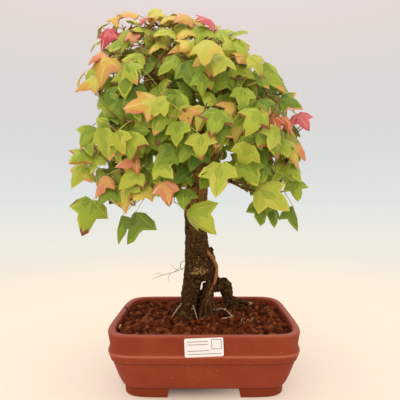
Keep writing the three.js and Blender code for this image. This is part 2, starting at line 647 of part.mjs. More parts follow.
function growMass(mass, seed) {
  const random = seeded(seed);
  const spread = (amount) => amount * (2 * random() - 1);
  const pieces = [];
  const blades = [];
  const twigs = [];
  const stalks = [];
  let leaves = 0;

  function addTwig(from, to, rootRadius, tipRadius) {
    pieces.push(twig(from, to, rootRadius, tipRadius));
    twigs.push(new THREE.Line3(from.clone(), to.clone()));
  }

  // A twig fits if it stays in the mass's space and off the limbs and blades
  function twigFits(from, to) {
    const spots = TWIG_CHECKS.map((share) => from.clone().lerp(to, share));
    return spots.every((spot) => insideSpace(mass, spot) && clearOfLimbs(spot))
      && apartFrom(spots, blades, LEAF_CLEARANCE);
  }

  // A leaf fits if it stays in the mass's space, off limbs and twigs, and apart from other blades
  function addLeaf(root, base, midrib, normal, length) {
    const points = leafPoints(root, base, midrib, normal, length);
    const samples = bladeSamples(points);
    const stalk = STALK_CHECKS.map((share) => root.clone().lerp(base, share));
    const fits = points.slice(FIRST, LAST + 1).every((point) => insideSpace(mass, point))
      && apartFrom([...samples, ...stalk], blades, LEAF_CLEARANCE)
      && offLines(samples, [...twigs, ...stalks])
      && [...samples, ...stalk].every(clearOfLimbs);
    if (fits) {
      pieces.push(solid(closedGeometry(points, LEAF_FACES)));
      blades.push(...samples);
      stalks.push(new THREE.Line3(root.clone(), base.clone()));
      leaves += 1;
    }
    return fits;
  }

  // A leaf is tried in a few directions near the one that is wanted
  function tryLeaf(root, wanted) {
    for (let attempt = 0; attempt < LEAF_TRIES && leaves < LEAVES; attempt += 1) {
      const loose = LEAF_LOOSE + LOOSER_EACH_TRY * attempt;
      const stalk = wanted.clone().add(vec(spread(loose), spread(loose), spread(loose))).normalize();
      const base = root.clone().addScaledVector(stalk, PETIOLE_LENGTH + PETIOLE_SPREAD * random());
      const outward = base.clone().sub(CROWN_HEART).multiply(OUTWARD_LEAN).normalize();
      outward.y += base.y > BACK_FACING ? FRONT_FACING : -FRONT_FACING;
      const turn = vec(spread(BLADE_TURN), spread(BLADE_TURN), BLADE_LIFT + spread(BLADE_LIFT));
      const normal = outward.add(turn).normalize();
      const fall = vec(spread(TIP_TURN), spread(TIP_TURN), -1).addScaledVector(stalk, TIP_ALONG_PETIOLE);
      const midrib = fall.addScaledVector(normal, -fall.dot(normal)).normalize();
      const length = LEAF_LENGTH + spread(LEAF_SPREAD);
      if (midrib.dot(stalk) > SHARPEST_FOLD && addLeaf(root, base, midrib, normal, length)) {
        return;
      }
    }
  }

  const stemStart = mass.tip.clone().addScaledVector(mass.heading, GAP);
  const stemEnd = stemStart.clone().lerp(mass.centre, STEM_SHARE);
  const stem = new THREE.Line3(stemStart, stemEnd);
  addTwig(stemStart, stemEnd, STEM_RADIUS, STEM_RADIUS * STEM_TAPER);

  // A shoot leaves the stem beside the place it grows to
  function rootOnStem(place) {
    const share = stem.closestPointToPointParameter(place, true) + spread(SHOOT_ROOT_BACK);
    return stem.at(THREE.MathUtils.clamp(share, BARE_ROOT_OF_STEM, BARE_TIP_OF_STEM), vec(0, 0, 0));
  }

  for (const shown of SHOWN_LEAVES.filter((leaf) => leaf.mass === mass.name)) {
    const base = vec(...shown.base);
    const midrib = vec(...shown.tip).sub(base);
    const length = midrib.length();
    midrib.normalize();
    const start = rootOnStem(base);
    const end = base.clone().lerp(start, PETIOLE_LENGTH / base.distanceTo(start));
    const outward = base.clone().sub(CROWN_HEART).setZ(0).normalize();
    const normal = outward.addScaledVector(midrib, -outward.dot(midrib)).normalize();
    addTwig(start, end, SHOOT_RADIUS, SHOOT_RADIUS);
    addLeaf(end, base, midrib, normal, length);
  }

  // One shoot grows towards its own side of the mass and carries up to five leaves, or is left out
  function growShoot(shoot) {
    for (let attempt = 0; attempt < SHOOT_TRIES; attempt += 1) {
      const height = 1 - (2 * ((shoot % SHOOTS) + 0.5)) / SHOOTS;
      const turn = shoot * GOLDEN_ANGLE + seed + attempt * TURN_EACH_TRY;
      const flat = Math.sqrt(1 - height * height);
      const far = SHOOT_REACH + SHOOT_REACH_SPREAD * random() - SHORTER_EACH_TRY * attempt;
      const target = vec(flat * Math.cos(turn), flat * Math.sin(turn), height)
        .multiplyScalar(far)
        .add(vec(0, 0, SHOOT_LIFT))
        .multiply(mass.reach)
        .add(mass.centre);
      const start = rootOnStem(target);
      if (twigFits(start, target)) {
        const before = leaves;
        addTwig(start, target, SHOOT_RADIUS, SHOOT_RADIUS);
        const along = target.clone().sub(start).normalize();
        const across = along.clone().cross(vec(spread(1), spread(1), 1)).normalize();
        const other = along.clone().cross(across);
        const forward = (aside) => aside.addScaledVector(along, LEAF_FORWARD);
        const headings = [along, forward(across.clone()), forward(across.clone().negate())];
        LEAVES_FROM_TIP.forEach((distance, i) => {
          tryLeaf(target.clone().addScaledVector(along, -distance), headings[i]);
        });
        LEAVES_ALONG_SHOOT.forEach((share, i) => {
          tryLeaf(start.clone().lerp(target, share), forward(other.clone().multiplyScalar(1 - 2 * i)));
        });
        if (leaves === before) {
          pieces.pop();
          twigs.pop();
        }
        return;
      }
    }
  }

  for (let shoot = 0; shoot < SHOOTS * ROUNDS && leaves < LEAVES; shoot += 1) {
    growShoot(shoot);
  }
  let body = wasm.Manifold.union(pieces);
  for (const limb of grownLimbs) {
    body = body.subtract(limb);
  }
  return outerBody(body.simplify(SIMPLER));
}

const LEAF_COLOURS = [0x9bb33a, 0x7fa23a, 0xb9bf45, 0x86a83c, 0xa9b040];

CROWN.forEach((mass, index) => {
  addMesh(`foliage_${mass.name}`, growMass(mass, 101 + 7 * index), LEAF_COLOURS[index % 5], 0.6);
});

// The crown reaches further to the left than to the right of the pot
const middle = new THREE.Box3().setFromObject(part).getCenter(vec(0, 0, 0));
part.position.set(-middle.x, -middle.y, 0);

export default part;
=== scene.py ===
"""Trident maple bonsai in its clay pot: the finished surfaces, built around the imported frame."""

import math

import bmesh
import bpy
import numpy as np
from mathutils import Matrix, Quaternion, Vector, noise
from mathutils.bvhtree import BVHTree


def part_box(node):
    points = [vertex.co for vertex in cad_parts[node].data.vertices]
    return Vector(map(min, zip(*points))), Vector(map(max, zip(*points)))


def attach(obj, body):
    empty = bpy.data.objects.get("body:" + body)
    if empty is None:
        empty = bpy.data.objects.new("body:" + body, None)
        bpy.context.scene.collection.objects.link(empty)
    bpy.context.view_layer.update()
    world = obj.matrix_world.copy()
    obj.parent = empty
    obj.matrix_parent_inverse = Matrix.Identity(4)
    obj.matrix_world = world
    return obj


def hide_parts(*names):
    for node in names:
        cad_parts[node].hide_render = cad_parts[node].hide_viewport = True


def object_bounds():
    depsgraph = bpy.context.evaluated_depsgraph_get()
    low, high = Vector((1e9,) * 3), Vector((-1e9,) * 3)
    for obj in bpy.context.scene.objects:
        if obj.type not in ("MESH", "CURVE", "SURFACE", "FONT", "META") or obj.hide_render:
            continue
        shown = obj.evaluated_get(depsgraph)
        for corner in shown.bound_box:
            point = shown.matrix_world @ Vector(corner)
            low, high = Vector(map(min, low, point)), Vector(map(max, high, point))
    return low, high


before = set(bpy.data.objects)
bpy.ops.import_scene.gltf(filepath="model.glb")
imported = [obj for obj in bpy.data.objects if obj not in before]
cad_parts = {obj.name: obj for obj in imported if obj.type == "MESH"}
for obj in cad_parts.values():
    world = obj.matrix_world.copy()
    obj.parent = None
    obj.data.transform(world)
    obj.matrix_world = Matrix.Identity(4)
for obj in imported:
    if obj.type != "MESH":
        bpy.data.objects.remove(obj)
cad_box = [list(corner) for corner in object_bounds()]

# Pot
# A rectangular stoneware pot with soft corners, pressed in a mould and fired without a glaze. It has
# a thick rounded rim, a belt with a thin step under it, four feet and two drain holes.
MM = 0.001
pot_low, pot_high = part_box("pot")
MIDDLE = np.array([(pot_low.x + pot_high.x) / 2, (pot_low.y + pot_high.y) / 2, pot_low.z])
POT_LENGTH = (pot_high.x - pot_low.x) / MM
POT_DEPTH = (pot_high.y - pot_low.y) / MM
POT_HEIGHT = (pot_high.z - pot_low.z) / MM
FOOT_HEIGHT = 11.5
FLOOR_TOP = 19.5
RIM_FULLNESS = (12, 4.8)
FOOT_FULLNESS = (8, 7.3)
POT_POINTS = 160
OUTLINE_STEPS = 9600
CLAY = [(141, 54, 28), (155, 64, 35)]
# Paler, pinker top of the rim: partly its own tint, partly painted highlight where the light from above
# falls
CLAY_RIM_AND_HIGHLIGHT = (174, 92, 70)
# Painted shade: the feet darker near the ground
CLAY_FOOT_SHADE = (134, 49, 14)
# Painted highlight along the belt's upper edge, where it faces the light
CLAY_BELT_HIGHLIGHT = (184, 98, 72)
# Painted shade in the groove under the belt and the groove above the feet
CLAY_GROOVE_SHADE = (116, 40, 22)
CLAY_SPECK = (214, 166, 130)
SPECKS_PER_M = 105
SPECK_EDGE = (0.055, 0.03)
# Heights in metres between which the rim's paler tint, partly painted highlight, and the feet's painted
# shade fade in
RIM_AND_HIGHLIGHT_FADE = (0.0795, 0.0822)
FOOT_SHADE_FADE = (0.0145, 0.0105)
# Lowest and highest point in metres, softness and colour of the painted highlight on the belt's upper edge
# and the painted shade in the grooves
CLAY_HIGHLIGHT_AND_SHADE_BANDS = [
    (0.0566, 0.0576, 0.0016, CLAY_BELT_HIGHLIGHT), (0.0462, 0.0474, 0.0007, CLAY_GROOVE_SHADE),
    (0.0118, 0.0132, 0.0007, CLAY_GROOVE_SHADE),
]

# Inset and height of the wall, from under the floor, up the outside, over the rim and down inside
POT_PROFILE = [
    (60, FOOT_HEIGHT), (22, FOOT_HEIGHT), (19.2, 12), (17.6, 13.2), (16.2, 15.6), (13.2, 22), (10.2, 31),
    (6.9, 41), (5.4, 45.2), (4.9, 46.4), (4.3, 46.9), (3.6, 47.3), (3.3, 48.6), (2.9, 50), (2, 52.6),
    (1, 55.4), (0.6, 56.8), (0.9, 58.2), (1.9, 59.6), (2.4, 61.2), (2.4, 64), (2, 68), (1.2, 73.5),
    (0.3, 78), (0, 80), (0.6, 81.4), (2, 82), (4.8, 82), (7.2, 81.6), (8.3, 80.2), (8.9, 76), (11, 52),
    (17.6, 40), (28.6, 20.6), (33, FLOOR_TOP), (60, FLOOR_TOP),
]
FOOT_PROFILE = [(23.5, 0), (21.6, 0.5), (20.4, 1.8), (20, 4), (19.8, FOOT_HEIGHT + 1.5)]
HOLLOW_PROFILE = [(48, -1), (45, FOOT_HEIGHT + 2)]
GAP_HALF_WIDTHS = {"front": 41, "side": 26}
GAP_FLARE = 4
CUT_PLAY = 4
FOOT_EDGE = 1.1
DRAIN_RADIUS = 8
DRAIN_OFFSET = 50
DRAIN_POINTS = 48


def linear(colour):
    """A colour that is given as it looks on a screen, from 0 to 255, as the renderer wants it."""
    parts = [part / 255 for part in colour]
    return [part / 12.92 if part < 0.04045 else ((part + 0.055) / 1.055) ** 2.4 for part in parts] + [1]


def pot_ring(inset, z):
    """One level ring of the pot: a rectangle with soft corners and bowed sides, squarer at the feet."""
    height = z / POT_HEIGHT
    end_fullness, side_fullness = (
        low + (high - low) * height for low, high in zip(FOOT_FULLNESS, RIM_FULLNESS)
    )
    turn = np.linspace(0, 2 * math.pi, OUTLINE_STEPS + 1)
    across, along = np.cos(turn), np.sin(turn)
    x = (POT_LENGTH / 2 - inset) * np.sign(across) * abs(across) ** (2 / end_fullness)
    y = (POT_DEPTH / 2 - inset) * np.sign(along) * abs(along) ** (2 / side_fullness)
    walked = np.concatenate([[0], np.cumsum(np.hypot(np.diff(x), np.diff(y)))])
    even = np.linspace(0, walked[-1], POT_POINTS, endpoint=False)
    points = [np.interp(even, walked, x), np.interp(even, walked, y), np.full(POT_POINTS, float(z))]
    return np.stack(points, 1)


def raise_rings(name, rings, open_top=False):
    """A body through rings of equally many points in millimetres: a disc that is extruded ring by ring."""
    bpy.ops.object.select_all(action="DESELECT")
    bpy.ops.mesh.primitive_circle_add(vertices=len(rings[0]), radius=1, fill_type="NGON")
    piece = bpy.context.object
    piece.name = name
    number = piece.data.attributes.new("number", "INT", "POINT")
    number.data.foreach_set("value", range(len(rings[0])))
    bpy.ops.object.mode_set(mode="EDIT")
    bpy.ops.mesh.select_all(action="SELECT")
    for row, ring in enumerate(rings):
        if row:
            bpy.ops.mesh.extrude_region_move()
        shape = bmesh.from_edit_mesh(piece.data)
        layer = shape.verts.layers.int["number"]
        places = ring * MM + MIDDLE
        for vert in shape.verts:
            if vert.select:
                vert.co = places[vert[layer]]
        bmesh.update_edit_mesh(piece.data)
    if open_top:
        bpy.ops.mesh.delete(type="ONLY_FACE")
    bpy.ops.mesh.select_all(action="SELECT")
    bpy.ops.mesh.normals_make_consistent(inside=False)
    bpy.ops.object.mode_set(mode="OBJECT")
    piece.data.attributes.remove(piece.data.attributes["number"])
    return piece


def apply_modifier(piece, kind, **settings):
    """Adds one modifier to a piece with its settings, and applies it."""
    modifier = piece.modifiers.new(kind.lower(), kind)
    for setting, value in settings.items():
        setattr(modifier, setting, value)
    bpy.context.view_layer.objects.active = piece
    bpy.ops.object.modifier_apply(modifier=modifier.name)


def cut_with(piece, tool, operation="DIFFERENCE"):
    """Cuts a tool away from a piece, or joins it on, and removes the tool."""
    apply_modifier(piece, "BOOLEAN", operation=operation, object=tool, solver="EXACT")
    bpy.data.objects.remove(tool)


def smooth(piece, angle=35):
    """Smooth shading, with edges kept where the surface turns sharply."""
    bpy.ops.object.select_all(action="DESELECT")
    piece.select_set(True)
    bpy.context.view_layer.objects.active = piece
    bpy.ops.object.shade_smooth_by_angle(angle=math.radians(angle), keep_sharp_edges=False)


def foot_gap(half_width, turned):
    """What is cut away between two feet: a block that widens a little towards the ground."""
    bpy.ops.object.select_all(action="DESELECT")
    bpy.ops.mesh.primitive_cube_add(size=1)
    block = bpy.context.object
    top = FOOT_HEIGHT + CUT_PLAY
    for vert in block.data.vertices:
        side = half_width + (GAP_FLARE if vert.co.z < 0 else 0)
        across, along = math.copysign(side, vert.co.x), math.copysign(POT_LENGTH, vert.co.y)
        x, y = (along, across) if turned else (across, along)
        vert.co = np.array([x, y, top if vert.co.z > 0 else -CUT_PLAY / 2]) * MM + MIDDLE
    bpy.ops.object.mode_set(mode="EDIT")
    bpy.ops.mesh.select_all(action="SELECT")
    bpy.ops.mesh.normals_make_consistent(inside=False)
    bpy.ops.object.mode_set(mode="OBJECT")
    return block


feet = raise_rings("feet", [pot_ring(inset, z) for inset, z in FOOT_PROFILE])
cut_with(feet, raise_rings("hollow", [pot_ring(inset, z) for inset, z in HOLLOW_PROFILE]))
cut_with(feet, foot_gap(GAP_HALF_WIDTHS["front"], turned=False))
cut_with(feet, foot_gap(GAP_HALF_WIDTHS["side"], turned=True))
apply_modifier(feet, "BEVEL", width=FOOT_EDGE * MM, segments=3, limit_method="ANGLE",
               angle_limit=math.radians(50))

pot = raise_rings("pot_clay", [pot_ring(inset, z) for inset, z in POT_PROFILE])
apply_modifier(pot, "SUBSURF", levels=1, render_levels=1)
cut_with(pot, feet, operation="UNION")
for side in (-1, 1):
    turn = np.linspace(0, 2 * math.pi, DRAIN_POINTS, endpoint=False)
    circle = np.stack([side * DRAIN_OFFSET + DRAIN_RADIUS * np.cos(turn), DRAIN_RADIUS * np.sin(turn)], 1)
    hole = [np.insert(circle, 2, z, axis=1) for z in (FOOT_HEIGHT - CUT_PLAY, FLOOR_TOP + CUT_PLAY)]
    cut_with(pot, raise_rings("drain", hole))
smooth(pot)


def node(tree, kind, inputs=None, **settings):
    """Adds a shader node, with its settings and the plain values or links of its inputs."""
    made = tree.nodes.new("ShaderNode" + kind)
    for setting, value in settings.items():
        setattr(made, setting, value)
    for name, value in (inputs or {}).items():
        if isinstance(value, bpy.types.NodeSocket):
            tree.links.new(value, made.inputs[name])
        else:
            made.inputs[name].default_value = value
    return made


def blend_colours(tree, share, first, second):
    """Mixes two colours by a share from 0 to 1."""
    made = node(tree, "Mix", data_type="RGBA")
    for place, value in ((0, share), (6, first), (7, second)):
        if isinstance(value, bpy.types.NodeSocket):
            tree.links.new(value, made.inputs[place])
        else:
            made.inputs[place].default_value = value
    return made.outputs[2]


def between(tree, value, low, high):
    """A value as a share from 0 at the low end to 1 at the high end, clamped."""
    return node(tree, "MapRange", {"Value": value, "From Min": low, "From Max": high}).outputs["Result"]


def make_grain_group():
    """Grain of an earthy or woody surface: a patchy tone from 0 to 1, and the height of its pores."""
    group = bpy.data.node_groups.new("grain", "ShaderNodeTree")
    for name, kind in (("Patches per m", "NodeSocketFloat"), ("Pores per m", "NodeSocketFloat"),
                       ("Stretch", "NodeSocketVector")):
        group.interface.new_socket(name=name, in_out="INPUT", socket_type=kind)
    for name in ("Tone", "Height"):
        group.interface.new_socket(name=name, in_out="OUTPUT", socket_type="NodeSocketFloat")
    given = group.nodes.new("NodeGroupInput").outputs
    place = node(group, "TexCoord").outputs["Object"]
    placed = node(group, "Mapping", {"Vector": place, "Scale": given["Stretch"]}).outputs["Vector"]
    patches = node(group, "TexNoise", {"Vector": placed, "Scale": given["Patches per m"], "Detail": 6.0,
                                       "Roughness": 0.62})
    pores = node(group, "TexNoise", {"Vector": placed, "Scale": given["Pores per m"], "Detail": 4.0,
                                     "Roughness": 0.7})
    taken = group.nodes.new("NodeGroupOutput").inputs
    group.links.new(between(group, patches.outputs["Fac"], 0.3, 0.7), taken["Tone"])
    group.links.new(pores.outputs["Fac"], taken["Height"])
    return group


GRAIN = make_grain_group()


def new_material(name, roughness, specular=0.2):
    """A material with its node tree and its shader, of one roughness until a pattern is linked to it."""
    material = bpy.data.materials.new(name)
    material.use_nodes = True
    shader = material.node_tree.nodes["Principled BSDF"]
    shader.inputs["Roughness"].default_value = roughness
    shader.inputs["Specular IOR Level"].default_value = specular
    return material, material.node_tree, shader


def add_grain(tree, patches, pores, stretch=(1, 1, 1)):
    """Places the grain group in a material."""
    inputs = {"Patches per m": patches, "Pores per m": pores, "Stretch": stretch}
    made = node(tree, "Group", node_tree=GRAIN)
    for name, value in inputs.items():
        made.inputs[name].default_value = value
    return made


def vary_roughness(tree, shader, share, low, high):
    """Lets the roughness follow a share from 0 to 1."""
    rough = node(tree, "MapRange", {"Value": share, "To Min": low, "To Max": high})
    tree.links.new(rough.outputs["Result"], shader.inputs["Roughness"])


def add_bump(tree, shader, height, distance):
    """Small relief from a height, in metres at full height."""
    bump = node(tree, "Bump", {"Height": height, "Distance": distance})
    tree.links.new(bump.outputs["Normal"], shader.inputs["Normal"])


def height_in(tree):
    """Height above the ground at each place of a surface, in metres."""
    place = node(tree, "TexCoord").outputs["Object"]
    return node(tree, "SeparateXYZ", {"Vector": place}).outputs["Z"]


def make_clay():
    """Fired clay: faint patches, pale specks, a paler rim that is partly painted highlight, a painted
    highlight on the belt's edge, and painted shade on the foot and in the grooves.
    """
    material, tree, shader = new_material("clay", roughness=0.62)
    grain = add_grain(tree, patches=28, pores=900)
    body = blend_colours(tree, grain.outputs["Tone"], linear(CLAY[0]), linear(CLAY[1]))
    z = height_in(tree)
    # The rim's paler top: partly its own tint, partly painted highlight
    body = blend_colours(tree, between(tree, z, *RIM_AND_HIGHLIGHT_FADE), body, linear(CLAY_RIM_AND_HIGHLIGHT))
    # Painted shade on the feet near the ground
    body = blend_colours(tree, between(tree, z, *FOOT_SHADE_FADE), body, linear(CLAY_FOOT_SHADE))
    # Painted highlight on the belt's edge and painted shade in the grooves
    for low, high, softness, colour in CLAY_HIGHLIGHT_AND_SHADE_BANDS:
        rise = between(tree, z, low - softness, low)
        fall = between(tree, z, high + softness, high)
        band = node(tree, "Math", {0: rise, 1: fall}, operation="MULTIPLY").outputs["Value"]
        body = blend_colours(tree, band, body, linear(colour))
    place = node(tree, "TexCoord").outputs["Object"]
    cells = node(tree, "TexVoronoi", {"Vector": place, "Scale": SPECKS_PER_M})
    speck = between(tree, cells.outputs["Distance"], *SPECK_EDGE)
    body = blend_colours(tree, speck, body, linear(CLAY_SPECK))
    tree.links.new(body, shader.inputs["Base Color"])
    vary_roughness(tree, shader, grain.outputs["Height"], low=0.5, high=0.75)
    add_bump(tree, shader, grain.outputs["Height"], distance=0.00035)
    return material


def finish_piece(piece, slot, *nodes):
    """Ties a finished piece to the one body and hides the nodes that it stands for; the slot is not used."""
    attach(piece, "root")
    if nodes:
        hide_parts(*nodes)


def give_material(piece, material, slot, *nodes):
    piece.data.materials.clear()
    piece.data.materials.append(material)
    finish_piece(piece, slot, *nodes)


give_material(pot, make_clay(), "clay", "pot")

# Soil
# Granules of hard fired clay, 3 to 7 mm across, heaped a little towards the trunk. A bed, painted dark as
# the shade between them, lies under two loose layers of them, which rise and fall with the imported body.
BED_PROFILE = [
    (34, 20.3), (29.4, 21.2), (18.4, 40.2), (11.6, 52.2), (9.7, 69.4), (30, 71.4), (50, 73), (80, 73),
]
LUMP_ROUNDNESS = 0.85
LUMP_UNEVENNESS = 0.34
GRANULE_SPACING = 5.0
GRANULE_JITTER = 0.35
GRANULE_SIZES = (3.9, 7.4)
GRANULE_SQUASH = 0.65
# Share of the places that a layer fills, and how far its granules lie above the packed soil
GRANULE_LAYERS = [(1.0, -1.9), (0.72, 0.9)]
GRANULE_RISE = 0.7
INNER_WALL = 10.2
INNER_FULLNESS = (11, 4.9)
GRANULE_TINTS = [(124, 60, 25), (104, 46, 18), (86, 36, 14), (146, 80, 42), (68, 26, 9), (112, 50, 18)]
STRAW = (196, 158, 104)
STRAW_CHIP = ((-107.5, -46, 77), (2.2, 9, 4))
GRANULE_KINDS = 10
# Painted shade: the dark tints of the bed that shows between the granules
BED_SHADE_TINTS = [(30, 11, 4), (58, 24, 9)]
chance = np.random.default_rng(11)
packed_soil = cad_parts["soil"].data
soil_surface = BVHTree.FromPolygons(
    [vert.co for vert in packed_soil.vertices], [face.vertices for face in packed_soil.polygons]
)


def soil_height(x, y):
    """Height of the packed soil under a place."""
    above = Vector(np.array([x, y, 200]) * MM + MIDDLE)
    spot = soil_surface.ray_cast(above, Vector((0, 0, -1)))[0]
    return None if spot is None else (spot.z - MIDDLE[2]) / MM


def make_lump():
    """A rounded lump that granules are varied from: a cube, subdivided and blown out to a ball."""
    bpy.ops.object.select_all(action="DESELECT")
    bpy.ops.mesh.primitive_cube_add(size=1)
    lump = bpy.context.object
    bpy.ops.object.mode_set(mode="EDIT")
    bpy.ops.mesh.select_all(action="SELECT")
    bpy.ops.mesh.subdivide(number_cuts=1)
    bpy.ops.transform.tosphere(value=LUMP_ROUNDNESS)
    bpy.ops.object.mode_set(mode="OBJECT")
    points = np.array([vert.co for vert in lump.data.vertices])
    faces = np.array([list(face.vertices) for face in lump.data.polygons])
    bpy.data.objects.remove(lump)
    return points, faces


def turned_at_random(points):
    """Points turned about their middle to any side."""
    turn = Quaternion(chance.normal(size=4)).normalized().to_matrix()
    return points @ np.array(turn).T


def joined_mesh(name, parts, materials):
    """One piece from many small closed shapes in millimetres: (points, faces, slot of each face)."""
    points = np.concatenate([part[0] for part in parts]) * MM + MIDDLE
    faces, slots, start = [], [], 0
    for part_points, part_faces, part_slots in parts:
        faces.extend([[corner + start for corner in face] for face in part_faces])
        slots.extend(part_slots)
        start += len(part_points)
    mesh = bpy.data.meshes.new(name)
    mesh.from_pydata(points.tolist(), [], faces)
    for material in materials:
        mesh.materials.append(material)
    mesh.polygons.foreach_set("material_index", slots)
    mesh.polygons.foreach_set("use_smooth", [True] * len(faces))
    mesh.update()
    piece = bpy.data.objects.new(name, mesh)
    bpy.context.scene.collection.objects.link(piece)
    return piece


def grow_granules():
    """Granules on a jittered grid inside the wall, a sparser layer over them, and one chip of straw."""
    points, faces = make_lump()
    faces = faces.tolist()
    kinds = []
    for _ in range(GRANULE_KINDS):
        kinds.append(points * (1 + LUMP_UNEVENNESS * (chance.random((len(points), 1)) - 0.5)))
    place, sizes = STRAW_CHIP
    parts = [(kinds[0] * sizes + place, faces, [len(GRANULE_TINTS)] * len(faces))]
    row_spacing = GRANULE_SPACING * math.sqrt(0.75)
    for layer, (share, lift) in enumerate(GRANULE_LAYERS):
        for row in range(int(POT_DEPTH / row_spacing) + 1):
            for column in range(int(POT_LENGTH / GRANULE_SPACING) + 1):
                x = (column + 0.5 * ((row + layer) % 2)) * GRANULE_SPACING - POT_LENGTH / 2
                y = row * row_spacing - POT_DEPTH / 2
                x += chance.uniform(-GRANULE_JITTER, GRANULE_JITTER) * GRANULE_SPACING
                y += chance.uniform(-GRANULE_JITTER, GRANULE_JITTER) * GRANULE_SPACING
                keep = chance.random() < share
                size = chance.uniform(*GRANULE_SIZES)
                squash = chance.uniform(GRANULE_SQUASH, 1, 3)
                kind = kinds[chance.integers(GRANULE_KINDS)]
                tint = int(chance.integers(len(GRANULE_TINTS)))
                shape = turned_at_random(kind * squash * size)
                rise = lift + chance.uniform(-GRANULE_RISE, GRANULE_RISE)
                edge = INNER_WALL + size / 2
                across, along = abs(x) / (POT_LENGTH / 2 - edge), abs(y) / (POT_DEPTH / 2 - edge)
                outward = across ** INNER_FULLNESS[0] + along ** INNER_FULLNESS[1]
                height = soil_height(x, y)
                if keep and outward <= 1 and height is not None:
                    parts.append((shape + [x, y, height + rise], faces, [tint] * len(faces)))
    return parts


def make_plain(name, colour, roughness, specular, patches, pores, relief, stretch=(1, 1, 1)):
    """One plain colour with pores in its relief; the roughness keeps between two values."""
    material, tree, shader = new_material(name, sum(roughness) / 2, specular)
    shader.inputs["Base Color"].default_value = linear(colour)
    grain = add_grain(tree, patches, pores, stretch)
    vary_roughness(tree, shader, grain.outputs["Tone"], *roughness)
    add_bump(tree, shader, grain.outputs["Height"], relief)
    return material


def make_granule_material(number, colour):
    """One tint of granule, full of pores."""
    return make_plain(f"granule_{number}", colour, (0.8, 1.0), 0.1, patches=300, pores=1400, relief=0.0009)


def make_soil_shade():
    """The dark between the granules: the same clay, painted dark as the shade that falls between them."""
    material, tree, shader = new_material("soil_shade", roughness=0.95, specular=0.05)
    grain = add_grain(tree, patches=220, pores=900)
    body = blend_colours(tree, grain.outputs["Tone"], linear(BED_SHADE_TINTS[0]), linear(BED_SHADE_TINTS[1]))
    tree.links.new(body, shader.inputs["Base Color"])
    add_bump(tree, shader, grain.outputs["Height"], distance=0.002)
    return material


bed = raise_rings("soil_bed", [pot_ring(inset, z) for inset, z in BED_PROFILE])
smooth(bed)
give_material(bed, make_soil_shade(), "soil", "soil")
granules = joined_mesh(
    "soil_granules",
    grow_granules(),
    [make_granule_material(number, tint) for number, tint in enumerate([*GRANULE_TINTS, STRAW])],
)
finish_piece(granules, "soil", "soil")

# Label
# A plain white card plate, stuck across the front between rim and belt a little askew. It carries
# grey ruled lines and an empty square, printed thinly.
LABEL_WIDTH = 45.2
LABEL_HEIGHT = 22
LABEL_THICKNESS = 0.5
LABEL_CORNER = 2
LABEL_CENTRE_Z = 68.9
LABEL_INSET = 0.3
LABEL_TILT = math.radians(2.4)
LABEL_LEAN = math.radians(2.1)
LABEL_WHITE = [(253, 248, 246), (246, 240, 237)]
LABEL_GREY = (104, 92, 86)
RULED_LINES = [(-7.4, 7, 24), (-7.4, 3.6, 24), (-6.6, -3.8, 25), (0.6, -7.6, 38)]
SQUARE_CENTRE = (14.6, 3.4)
SQUARE_SIDE = 11
LINE_WIDTH = 0.6
PRINT_HEIGHT = 0.05


def flat_bar(across, up, width, height, thickness, corner=0.0, segments=1):
    """A flat bar that faces the front, with rounded corners, before it is turned onto the pot."""
    bpy.ops.object.select_all(action="DESELECT")
    bpy.ops.mesh.primitive_cube_add(size=1)
    bar = bpy.context.object
    for vert in bar.data.vertices:
        vert.co = Vector((across + vert.co.x * width, vert.co.y * thickness, up + vert.co.z * height)) * MM
    if corner:
        bpy.ops.object.mode_set(mode="EDIT")
        bpy.ops.mesh.select_all(action="DESELECT")
        shape = bmesh.from_edit_mesh(bar.data)
        for edge in shape.edges:
            direction = edge.verts[0].co - edge.verts[1].co
            edge.select_set(abs(direction.y) > abs(direction.x) + abs(direction.z))
        bmesh.update_edit_mesh(bar.data)
        bpy.ops.mesh.bevel(offset=corner * MM, segments=segments)
        bpy.ops.object.mode_set(mode="OBJECT")
    return bar


def join_pieces(pieces, name):
    """Makes one object of several, under a new name."""
    bpy.ops.object.select_all(action="DESELECT")
    for piece in pieces:
        piece.select_set(True)
    bpy.context.view_layer.objects.active = pieces[0]
    if len(pieces) > 1:
        bpy.ops.object.join()
    joined = bpy.context.object
    joined.name = name
    return joined


def make_label():
    """The card with its ruled lines and square, turned a little askew and leant onto the wall."""
    card = flat_bar(0, 0, LABEL_WIDTH, LABEL_HEIGHT, LABEL_THICKNESS, LABEL_CORNER, segments=6)
    half = SQUARE_SIDE / 2
    printed = LABEL_THICKNESS + 2 * PRINT_HEIGHT
    bars = [flat_bar(x, z, length, LINE_WIDTH, printed) for x, z, length in RULED_LINES]
    for sign in (-1, 1):
        x, z = SQUARE_CENTRE
        bars.append(flat_bar(x + sign * half, z, LINE_WIDTH, SQUARE_SIDE, printed))
        bars.append(flat_bar(x, z + sign * half, SQUARE_SIDE, LINE_WIDTH, printed + 0.4 * PRINT_HEIGHT))
    white, tree, shader = new_material("label_white", roughness=0.45)
    grain = add_grain(tree, patches=120, pores=2600)
    shade = blend_colours(tree, grain.outputs["Tone"], linear(LABEL_WHITE[0]), linear(LABEL_WHITE[1]))
    tree.links.new(shade, shader.inputs["Base Color"])
    add_bump(tree, shader, grain.outputs["Height"], distance=0.00003)
    grey, tree, shader = new_material("label_print", roughness=0.5)
    shader.inputs["Base Color"].default_value = linear(LABEL_GREY)
    card.data.materials.append(white)
    for bar in bars:
        bar.data.materials.append(grey)
    label = join_pieces([card, *bars], "label_card")
    bpy.ops.transform.rotate(value=LABEL_TILT, orient_axis="Y", center_override=(0, 0, 0))
    bpy.ops.transform.rotate(value=-LABEL_LEAN, orient_axis="X", center_override=(0, 0, 0))
    out = POT_DEPTH / 2 - LABEL_INSET + LABEL_THICKNESS / 2
    label.location = np.array([0, -out, LABEL_CENTRE_Z]) * MM + MIDDLE
    bpy.ops.object.transform_apply(location=True, rotation=True, scale=True)
    return label


label = make_label()
finish_piece(label, "label", "label")

